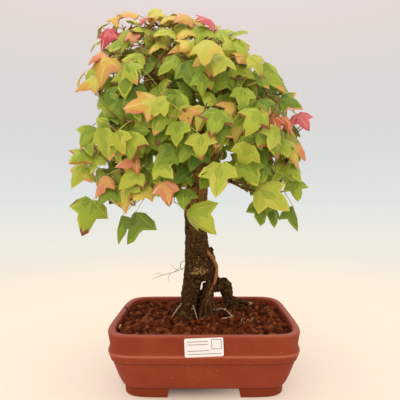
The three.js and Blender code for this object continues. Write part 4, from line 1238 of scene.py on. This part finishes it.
def grow_twigs(mass, seed):
    """Stem, shoots and side twigs of a mass; returns the places where leaves can leave them."""
    draws = seeded(seed)
    spread = spreads_of(draws)
    rows = curve_through(mass["route"], LIMB_STEPS)
    tip, heading = rows[-1, :3], unit(rows[-1, :3] - rows[-2, :3])
    start = tip + STEM_GAP * heading
    end = start + STEM_SHARE * (mass["centre"] - start)
    bend = np.array([spread(STEM_BEND) for _ in range(3)])
    stem = add_twig(tip - STEM_OVERLAP * heading, end, STEM, bend)
    sites = [(end, unit(end - start), stem)]
    for shoot in range(SHOOTS * ROUNDS):
        height = 1 - 2 * ((shoot % SHOOTS) + 0.5) / SHOOTS
        turn = shoot * GOLDEN_ANGLE + seed
        flat = math.sqrt(1 - height * height)
        far = SHOOT_REACH + SHOOT_REACH_SPREAD * next(draws)
        direction = np.array([flat * math.cos(turn), flat * math.sin(turn), height])
        target = (direction * far + [0, 0, SHOOT_LIFT]) * mass["reach"] + mass["centre"]
        while far > SHORTEST_REACH and not twig_has_room(target):
            far -= SHORTER_EACH_TRY
            target = (direction * far + [0, 0, SHOOT_LIFT]) * mass["reach"] + mass["centre"]
        along = np.dot(target - start, end - start) / np.dot(end - start, end - start)
        share = np.clip(along - FORK_BEFORE + spread(FORK_BEFORE), *FORK_RANGE)
        root = start + share * (end - start)
        sag = np.array([spread(SHOOT_BEND), spread(SHOOT_BEND), SHOOT_SAG + spread(SHOOT_SAG_SPREAD)])
        if not off_limbs(np.array([root + (target - root) * part for part in (0.5, 0.75, 1)])):
            continue
        shoot_twig = add_twig(root, target, SHOOT, sag, stem)
        heading = unit(target - root)
        sites.append((target, heading, shoot_twig))
        for side in range(SIDE_TWIGS):
            part = FIRST_SIDE_TWIG + SIDE_TWIG_RANGE * side / SIDE_TWIGS + spread(0.06)
            fork = root + part * (target - root) + 4 * part * (1 - part) * sag * 0.5
            across = unit(np.cross(heading, [spread(1), spread(1), 1]))
            across *= 1 if side % 2 else -1
            low, high = SIDE_TWIG_LENGTH
            length = low + (high - low) * next(draws)
            twig_end = fork + length * unit(across + SIDE_TWIG_SLANT * heading + [0, 0, spread(0.3)])
            if twig_has_room(twig_end) and off_limbs(twig_end[None]):
                side_twig = add_twig(fork, twig_end, SIDE_TWIG, np.array([0, 0, spread(1.2)]), shoot_twig)
                sites.append((twig_end, unit(twig_end - fork), side_twig))
                sites.append(((twig_end + fork) / 2, across, side_twig))
    return sites, draws


def tone_of(base, draws):
    """The tone of a leaf: dark green deep in the crown, partly as painted shade, yellow and orange outwards
    and upwards.
    """
    out = np.linalg.norm((base - CROWN_HEART) / CROWN_REACH)
    up = (base[2] - CROWN_HEART[2]) / CROWN_REACH[2]
    rare = next(draws)
    if rare < RED_SHARE and base[1] > 0:
        return RED_TONE
    if rare < (ORANGE_SHARE if base[1] > 0 or base[2] > ORANGE_FROM else FRONT_ORANGE_SHARE):
        return ORANGE_TONE + ORANGE_TONE_RISE * rare
    tone = TONE_AT_HEART + TONE_OUTWARD * out + TONE_UPWARD * max(0, up) ** 1.5
    return min(RIPEST_TONE, tone + TONE_DOWNWARD * max(0, -up) + TONE_SPREAD * (next(draws) - 0.5))


def hang_leaves(mass, sites, draws, wanted):
    """Hangs leaves from the sites of a mass, one after another, until it has as many as wanted."""
    spread = spreads_of(draws)
    within = lambda limits: limits[0] + (limits[1] - limits[0]) * next(draws)
    hung = 0
    for number in range(len(sites) * LEAVES_A_SITE):
        site, heading, twig = sites[(number * SITE_STEP + FIRST_SITE) % len(sites)]
        for attempt in range(LEAF_TRIES):
            loose = STALK_LOOSENESS + LOOSER_EACH_TRY * attempt
            stalk = unit(heading + [spread(loose), spread(loose), spread(loose)])
            base = site + stalk * within(PETIOLE_LENGTH)
            outward = unit((base - CROWN_HEART) * OUTWARD_LEAN)
            high_up = np.interp(base[2], HIGH_LEAVES, (0, 1))
            facing = FRONT_FACING * (1 - HIGH_FACING_LOSS * high_up)
            outward[1] += facing if base[1] > BACK_FACING else -facing
            outward[2] += UPWARD_FACING + HIGH_UPWARD_FACING * high_up
            normal = unit(outward + [spread(amount) for amount in FACING_SPREADS])
            fall = np.array([*(spread(amount) for amount in HANGING_SPREADS), -1]) + STALK_PULL * stalk
            midrib = unit(fall - normal * fall.dot(normal))
            leaf = {
                "base": base, "root": site, "midrib": midrib, "normal": normal,
                "length": within(LEAF_LENGTH) * (1 - HIGH_SHORTENING * high_up),
                **varied(GROWN_SHAPE, spread), "chance": next(draws),
                "fade": 0.7 + spread(0.6), "lobes": (spread(0.24), spread(0.24)),
            }
            if midrib.dot(stalk) > LEAST_FALL and hang_leaf(leaf, mass):
                leaf["tone"] = tone_of(base, draws)
                carrying.add(twig)
                hung += 1
                break
        if hung == wanted:
            return


# The crown's surface, as its centre and its half sizes
CROWN_SURFACE = (np.array([-20, 0, 330]), np.array([178, 100, 180]))
FIRST_DEPTH_SHARE = 0.8
VIEW_ROUNDS = 6
FLATTEST_EDGE = 0.04

# Kinds of leaves: tone, how much their edges have turned, and a chance of dry tips
LEAF_KINDS = {
    "deep": (1.4, 0.5, 0.1), "green": (2.5, 0.6, 0.4), "fresh": (3.9, 0.7, 0.4), "lime": (4.9, 0.6, 0.5),
    "yellow": (6.9, 0.8, 0.3), "amber": (8.4, 0.7, 0.4), "scorched": (7.4, 1.5, 1),
    "salmon": (9.6, 0.5, 0.3), "rust": (10.8, 0.3, 0.3), "crimson": (12.4, 0.3, 0),
}
# The leaves that show best from the front: kind, base and tip in the photographed frame, how far
# out they hang (1 is the crown's surface), how far they are turned about their midrib in degrees,
# and for some where their stalk starts
SHOWN_LEAVES = [
    ("crimson", (109, 28), (100, 50), 1.1, 15),
    ("crimson", (141, 19), (140, 27), 1.0, 50),
    ("amber", (136, 13), (119, 17), 0.9, 10),
    ("yellow", (150, 11), (168, 20), 0.9, 10),
    ("lime", (126, 30), (119, 53), 0.95, 20),
    ("crimson", (212, 21), (200, 25), 1.0, 10),
    ("fresh", (204, 27), (196, 46), 1.0, 0),
    ("lime", (219, 31), (227, 46), 0.9, 0),
    ("lime", (232, 33), (246, 36), 0.9, 20),
    ("lime", (239, 39), (248, 60), 1.0, 40),
    ("salmon", (131, 31), (139, 46), 1.0, 15),
    ("lime", (142, 54), (124, 62), 1.0, 20),
    ("fresh", (176, 56), (156, 73), 1.05, 20),
    ("green", (186, 62), (197, 92), 1.1, 0),
    ("scorched", (208, 55), (218, 82), 1.05, 60),
    ("fresh", (236, 62), (256, 78), 0.95, 20),
    ("fresh", (266, 62), (288, 90), 0.9, 45),
    ("fresh", (243, 88), (242, 112), 1.05, 0),
    ("green", (281, 98), (300, 110), 0.9, 0),
    ("green", (262, 99), (266, 115), 1.0, 0),
    ("amber", (109, 58), (98, 86), 1.0, 10),
    ("salmon", (100, 52), (91, 66), 1.0, 30),
    ("scorched", (95, 76), (74, 91), 1.0, 30),
    ("green", (140, 83), (122, 105), 1.0, 20),
    ("scorched", (158, 101), (124, 109), 1.1, 10),
    ("amber", (184, 106), (188, 129), 1.12, 0),
    ("fresh", (166, 111), (152, 134), 1.1, 10),
    ("yellow", (206, 108), (201, 133), 1.1, 40),
    ("green", (221, 123), (216, 149), 1.05, 0),
    ("yellow", (244, 119), (239, 146), 1.0, 40),
    ("rust", (272, 114), (277, 138), 1.0, 10),
    ("crimson", (297, 114), (307, 131), 0.9, 0),
    ("rust", (286, 116), (292, 134), 0.95, 30),
    ("green", (193, 142), (179, 163), 1.1, 0, (208, 142)),
    ("fresh", (92, 126), (80, 146), 1.0, 10),
    ("fresh", (88, 137), (92, 155), 1.0, 10),
    ("lime", (88, 152), (75, 163), 1.0, 10),
    ("lime", (82, 166), (70, 188), 1.0, 20, (100, 156)),
    ("lime", (139, 172), (119, 189), 1.05, 0),
    ("salmon", (105, 176), (94, 198), 1.0, 30, (120, 169)),
    ("lime", (220, 163), (216, 198), 1.17, 0, (223, 153)),
    ("salmon", (164, 182), (170, 207), 1.1, 0),
    ("green", (184, 189), (184, 207), 1.0, 0, (193, 174)),
    ("lime", (187, 211), (213, 237), 1.1, -38, (174, 202)),
    ("fresh", (92, 200), (83, 236), 1.0, 0, (111, 185)),
    ("green", (136, 212), (124, 243), 1.0, 38, (151, 190)),
    ("green", (121, 216), (114, 243), 0.97, 50, (150, 194)),
    ("lime", (260, 189), (289, 210), 1.0, 0, (239, 159)),
    ("green", (260, 200), (261, 226), 0.9, 0),
    ("green", (274, 207), (275, 225), 0.8, 30),
    ("fresh", (294, 181), (297, 200), 1.0, 0, (276, 171)),
    ("green", (293, 206), (301, 230), 1.0, 60),
    ("deep", (257, 147), (267, 166), 0.8, 10),
    ("scorched", (291, 141), (300, 167), 0.9, 30),
    ("fresh", (292, 163), (301, 181), 0.9, 30),
    ("fresh", (244, 159), (258, 186), 1.0, 10),
    ("yellow", (156, 11), (150, 25), 0.95, 20),
    ("yellow", (167, 17), (183, 22), 1.0, -20),
    ("amber", (191, 18), (177, 26), 1.0, 10),
    ("lime", (168, 28), (156, 38), 1.0, 20),
    ("lime", (146, 28), (131, 32), 0.95, 40),
    ("fresh", (121, 38), (112, 55), 0.8, 20),
    ("amber", (187, 41), (165, 51), 1.0, 40),
    ("yellow", (192, 42), (184, 55), 1.0, 20),
    ("green", (151, 57), (143, 77), 0.9, 20),
    ("lime", (186, 57), (202, 59), 0.95, 55),
    ("lime", (236, 50), (218, 56), 1.0, 40),
    ("amber", (244, 54), (239, 66), 0.95, 20),
    ("green", (256, 73), (268, 90), 0.9, 20),
    ("green", (228, 73), (214, 93), 0.95, 10),
    ("deep", (187, 74), (166, 86), 0.85, 10),
    ("green", (191, 91), (175, 100), 0.95, 10),
    ("fresh", (148, 112), (130, 139), 1.0, 20),
    ("green", (164, 119), (155, 146), 0.95, 30),
    ("green", (114, 107), (96, 123), 0.95, 40),
    ("green", (122, 117), (107, 138), 0.9, 10),
    ("deep", (200, 150), (190, 171), 0.95, 0),
    ("green", (173, 148), (154, 169), 1.0, 0),
    ("salmon", (136, 155), (116, 164), 1.0, 40),
    ("lime", (157, 164), (174, 177), 1.05, -10),
    ("deep", (190, 171), (175, 183), 0.9, 10),
    ("yellow", (149, 186), (134, 199), 1.0, 20),
    ("scorched", (121, 191), (124, 214), 0.95, 30),
    ("green", (108, 184), (98, 204), 0.95, 30),
    ("lime", (96, 155), (88, 173), 0.95, 40),
    ("amber", (236, 104), (231, 121), 0.95, 40),
    ("green", (254, 125), (268, 143), 0.9, 20),
    ("fresh", (281, 137), (288, 156), 0.95, 20),
    ("salmon", (300, 143), (308, 161), 0.9, 55),
    ("green", (263, 162), (262, 182), 0.85, 20),
    ("green", (210, 176), (202, 186), 0.9, 0),
    ("green", (104, 94), (120, 104), 0.9, 20),
    ("lime", (212, 93), (208, 106), 0.95, 20),
    ("fresh", (128, 180), (140, 190), 0.95, 10),
    ("yellow", (187, 28), (178, 41), 0.95, 20),
    ("lime", (175, 30), (188, 40), 0.9, 30),
    ("yellow", (158, 42), (150, 55), 0.95, 30),
]

# Twigs that show bare, as points in the photographed frame
SHOWN_TWIGS = [
    [(252, 174), (268, 160), (278, 152)],
    [(274, 163), (290, 164)],
    [(113, 149), (135, 141)],
]
SHOWN_TWIG_LAYER = 0.85
SHOWN_SEED = 77
HIGH_SHOWN_LEAVES = (400, 480)
SHOWN_LEAF_LENGTH = 29
SHOWN_LENGTHENING = 1.04
SHOWN_STALK_LENGTH = 22
MOST_FORWARD = 0.75


def at_view(px, py, layer):
    """The place on or inside the crown's surface that shows at a point of the photographed frame."""
    centre, radii = CROWN_SURFACE
    depth = -FIRST_DEPTH_SHARE * radii[1]
    for _ in range(VIEW_ROUNDS):
        scale = (depth - EYE[0]) / VIEW_SCALE
        x = (px - VIEW_CENTRE[0]) * scale
        z = EYE[1] - (py - VIEW_CENTRE[1]) * scale
        room = 1 - ((x - centre[0]) / radii[0]) ** 2 - ((z - centre[2]) / radii[2]) ** 2
        depth = -radii[1] * layer * math.sqrt(max(room, FLATTEST_EDGE))
    return np.array([x, depth, z])


def nearest_twig(place):
    """The nearest spot on a twig, and the twig's number."""
    number = np.linalg.norm(np.array(twig_spots) - place, axis=1).argmin()
    return twig_spots[number], twig_owners[number]


def hang_shown_leaves():
    """Hangs the leaves that were listed one by one, each on a stalk from the nearest twig."""
    draws = seeded(SHOWN_SEED)
    spread = spreads_of(draws)
    for row in SHOWN_TWIGS:
        places = [at_view(*point, SHOWN_TWIG_LAYER) for point in row]
        start, parent = nearest_twig(places[0])
        for end in places:
            parent = add_twig(start, end, SHOWN_TWIG, np.array([0, 0, 0.6]), parent)
            start = end
        carrying.add(parent)
    for kind, base_at, tip_at, layer, turn, *stalk_from in SHOWN_LEAVES:
        base = at_view(*base_at, layer)
        scale = (base[1] - EYE[0]) / VIEW_SCALE
        dx, dz = (tip_at[0] - base_at[0]) * scale, (base_at[1] - tip_at[1]) * scale
        shown = math.hypot(dx, dz)
        length = max(shown * SHOWN_LENGTHENING, SHOWN_LEAF_LENGTH + spread(3))
        forward = -min(math.sqrt(length ** 2 - shown ** 2), MOST_FORWARD * length)
        midrib = unit(np.array([dx, forward, dz]))
        facing = np.array([0.0, -1.0, 0.12 + 0.5 * np.interp(base[2], HIGH_SHOWN_LEAVES, (0, 1))])
        normal = unit(facing - midrib * facing.dot(midrib))
        side = np.cross(midrib, normal)
        fold = min(0.8, 0.08 + abs(turn) / 60) + spread(0.08)
        turn = math.radians(turn) * (-1 if base[0] > -20 else 1)
        normal = math.cos(turn) * normal + math.sin(turn) * side
        inward = unit(CROWN_HEART + [0, 0, 20] - base)
        root = base + (SHOWN_STALK_LENGTH + spread(4)) * unit(inward - 0.7 * midrib + [0, 0, 0.3])
        if stalk_from:
            root = at_view(*stalk_from[0], layer * 0.9)
        start, parent = nearest_twig(root)
        carrying.add(add_twig(start, root, SHORT_TWIG, np.array([0, 0, 1.5]), parent))
        tone, fade, dry = LEAF_KINDS[kind]
        hang_leaf({
            "base": base, "root": root, "midrib": midrib, "normal": normal, "length": length, "fold": fold,
            **varied(SHOWN_SHAPE, spread), "lobes": (spread(0.16), spread(0.16)), "fade": fade,
            "chance": next(draws) * (1 if next(draws) < dry else 3), "tone": tone + spread(0.4),
        })


grown = [grow_twigs(mass, FIRST_SEED + 7 * index) for index, mass in enumerate(MASSES)]
hang_shown_leaves()
twig_array = np.array(twig_spots)
for mass, (sites, draws) in zip(MASSES, grown):
    hang_leaves(mass, sites, draws, LEAVES_OF.get(mass["name"], LEAVES))

kept_twigs = set()
for twig in carrying:
    while twig is not None and twig not in kept_twigs:
        kept_twigs.add(twig)
        twig = twig_parents[twig]
FOLIAGE_NODES = ["foliage_" + mass["name"] for mass in MASSES]
TWIG_TINT = (136, 100, 62)
twigs = joined_mesh(
    "twigs",
    [plain_tube(twig_routes[twig], steps=4, sides=6, slot=0) for twig in sorted(kept_twigs)],
    [make_fibre("twig_bark", TWIG_TINT)],
)
finish_piece(twigs, "foliage", *FOLIAGE_NODES)

STALK_TINTS = [(214, 180, 96), (206, 140, 92), (196, 190, 96)]
# Share of the way along a stalk, its rise as a share of the stalk's length, and its radius there
STALK_ROUTE = [(0, 0, 0.62), (0.33, 0.05, 0.5), (0.7, 0.06, 0.46), (1, 0, 0.42)]


def stalk_tube(number, leaf):
    """A leaf's long thin stalk, which runs on into its midrib."""
    root, base = leaf["root"], leaf["base"] + 1.5 * leaf["midrib"] - 0.25 * leaf["normal"]
    up = np.array([0, 0, np.linalg.norm(base - root)])
    route = [(*(root + share * (base - root) + rise * up), radius) for share, rise, radius in STALK_ROUTE]
    return plain_tube(route, steps=5, sides=5, slot=number % len(STALK_TINTS))


stalks = joined_mesh(
    "leaf_stalks",
    [stalk_tube(number, leaf) for number, leaf in enumerate(leaves)],
    [make_fibre(f"stalk_{number}", colour, (0.48, 0.72)) for number, colour in enumerate(STALK_TINTS)],
)
finish_piece(stalks, "foliage", *FOLIAGE_NODES)

# Tints of the leaves from deep shade to rust, then pink, crimson, two of dry tips, and the palest veins
LEAF_TINTS = [
    (60, 84, 20), (84, 110, 25), (109, 132, 31), (132, 151, 38), (155, 169, 48), (178, 185, 60),
    (199, 194, 77), (212, 190, 80), (214, 170, 70), (220, 158, 88), (214, 136, 94), (194, 98, 54),
    (214, 106, 106), (196, 68, 78), (178, 112, 62), (136, 82, 46), (228, 208, 140),
]
APRICOT, PINK, CRIMSON, UMBER, BROWN, PALE = 9, 12, 13, 14, 15, 16
DRY_CHANCE = 0.4
RIM_CHANCE = 0.12
RED_FROM = 11.6
PALE_VEINS_FROM = 7.4
VEIN_STEP = 1.7
UNDERSIDE_STEP = -0.4
TONE_WAVES = 0.36
LEAF_CREASE = 62
# Pieces of joined leaves, each with its lowest tone and the tone that it keeps below
LEAF_PIECES = [("leaves_green", -9, 3.6), ("leaves_lime", 3.6, 6), ("leaves_autumn", 6, 99)]


def make_leaf_material(number, colour):
    """One leaf tint, satin, with fine veining in its relief."""
    return make_plain(f"leaf_{number}", colour, (0.42, 0.62), 0.3, patches=180, pores=1500, relief=0.0003)


def face_tints(leaf):
    """The tint of each face of a leaf: its own tone, turned further along its edges and at dry tips."""
    ring = np.where(FACE_RING > 2, 1, FACE_RING)
    tone = leaf["tone"] + (ring - 1) * leaf["fade"]
    tone = tone + TONE_WAVES * np.sin(3.1 * FACE_HEADING + 2.3 * ring + 5 * leaf["phase"])
    low, high = (PINK, CRIMSON) if leaf["tone"] > RED_FROM else (0, PINK - 1)
    tints = np.clip(np.rint(tone), low, high).astype(int)
    tints[FACE_RING == UNDERSIDE] = np.clip(round(leaf["tone"] + UNDERSIDE_STEP), low, high)
    tints[FACE_RING == VEIN] = PALE if leaf["tone"] > PALE_VEINS_FROM else round(leaf["tone"] + VEIN_STEP)
    if leaf["chance"] < DRY_CHANCE:
        dry = (APRICOT, UMBER, BROWN)[int(leaf["chance"] * 40) % 3]
        rim = (FACE_RING == 2) & (leaf["chance"] < RIM_CHANCE)
        dried = (FACE_TIP | rim) & (np.sin(4 * FACE_HEADING + 9 * leaf["phase"]) > -0.3)
        tints[dried & (FACE_RING != VEIN)] = dry
    return tints.tolist()


leaf_materials = [make_leaf_material(number, colour) for number, colour in enumerate(LEAF_TINTS)]
for name, low, high in LEAF_PIECES:
    chosen = [leaf for leaf in leaves if low <= leaf["tone"] < high]
    shapes = [(leaf["points"], LEAF_FACES, face_tints(leaf)) for leaf in chosen]
    piece = joined_mesh(name, shapes, leaf_materials)
    piece.data.set_sharp_from_angle(angle=math.radians(LEAF_CREASE))
    finish_piece(piece, "foliage", *FOLIAGE_NODES)

# Stage
# A pale floor that runs up into a round backdrop, soft lights above and in front, and the camera
# at the photograph's viewing angle.

# Radius and height of the rings of the floor and the wall that it curves up into
FLOOR_RINGS = [(1, 0), (1500, 0), (1700, 0), (1900, 60), (2080, 180), (2200, 380), (2250, 700), (2260, 2600)]
BACKDROP_TOP = 2000
BACKDROP = [
    (0.0, (239, 236, 225)), (0.12, (226, 230, 227)), (0.26, (219, 221, 220)), (0.4, (219, 217, 215)),
    (0.55, (223, 217, 214)), (0.7, (228, 217, 213)), (0.85, (230, 220, 218)),
]
FLOOR_TONE = (254, 237, 216)
STAGE_POINTS = 96
# Distances in metres from the middle over which the floor takes on the wall's tone and its own
# light and over which the pot's shade ends, and the share of its own light that the open floor has
TONE_FADE = (0.3, 1.5)
LIGHT_FADE = (0.5, 1.5)
POT_SHADE = (0.05, 0.1)
OPEN_LIGHT = 0.47
LIGHT_AIM = 260
WORLD_TINT = (1, 0.98, 0.96, 1)
WORLD_STRENGTH = 0.7
FRAME_WIDTH = 400
SENSOR_WIDTH = 36
turn = np.linspace(0, 2 * math.pi, STAGE_POINTS, endpoint=False)
circle = np.stack([np.cos(turn), np.sin(turn)], 1)
rings = [np.insert(radius * circle, 2, z, axis=1) for radius, z in FLOOR_RINGS]
floor = raise_rings("floor", rings, open_top=True)
smooth(floor, angle=80)
stage, tree, shader = new_material("stage", roughness=1.0, specular=0.0)
wall = colour_ramp(tree, between(tree, height_in(tree), 0.0, BACKDROP_TOP * MM), BACKDROP)
place = node(tree, "TexCoord").outputs["Object"]
away = node(tree, "VectorMath", {0: place}, operation="LENGTH").outputs["Value"]
tone = blend_colours(tree, between(tree, away, *TONE_FADE), linear(FLOOR_TONE), wall)
far = between(tree, away, *LIGHT_FADE)
black = (0, 0, 0, 1)
clear_of_pot = between(tree, away, *POT_SHADE)
open_share = node(tree, "MapRange", {"Value": far, "To Min": OPEN_LIGHT, "To Max": 1.0}).outputs["Result"]
lit_share = node(tree, "Math", {0: clear_of_pot, 1: open_share}, operation="MULTIPLY").outputs["Value"]
tree.links.new(blend_colours(tree, lit_share, tone, black), shader.inputs["Base Color"])
tree.links.new(blend_colours(tree, lit_share, black, tone), shader.inputs["Emission Color"])
shader.inputs["Emission Strength"].default_value = 1.0
floor.data.materials.append(stage)


def add_light(name, place, size, power):
    """A soft square light at a place in millimetres, which shines on the middle of the plant."""
    lamp = bpy.data.lights.new(name, "AREA")
    lamp.size = size
    lamp.energy = power
    light = bpy.data.objects.new(name, lamp)
    light.location = np.array(place) * MM + MIDDLE
    aim = Vector(MIDDLE + np.array([0, 0, LIGHT_AIM]) * MM) - light.location
    light.rotation_euler = aim.to_track_quat("-Z", "Y").to_euler()
    bpy.context.scene.collection.objects.link(light)


add_light("top", (-200, -200, 1500), size=1.4, power=9)
add_light("front", (-500, -1300, 900), size=1.2, power=4)
add_light("right", (1200, -500, 800), size=1.2, power=2)
add_light("back", (300, 1200, 1000), size=1.2, power=3)

world = bpy.data.worlds.new("world")
bpy.context.scene.world = world
world.use_nodes = True
world.node_tree.nodes["Background"].inputs["Color"].default_value = WORLD_TINT
world.node_tree.nodes["Background"].inputs["Strength"].default_value = WORLD_STRENGTH

camera = bpy.data.objects.new("camera", bpy.data.cameras.new("camera"))
bpy.context.scene.collection.objects.link(camera)
camera.location = np.array([0, EYE[0], EYE[1]]) * MM + MIDDLE
camera.rotation_euler = (math.pi / 2, 0, 0)
camera.data.sensor_width = SENSOR_WIDTH
camera.data.lens = SENSOR_WIDTH * VIEW_SCALE / FRAME_WIDTH
camera.data.shift_x = -(VIEW_CENTRE[0] - FRAME_WIDTH / 2) / FRAME_WIDTH
camera.data.clip_start = 0.01
bpy.context.scene.camera = camera
bpy.context.scene.view_settings.view_transform = "Standard"
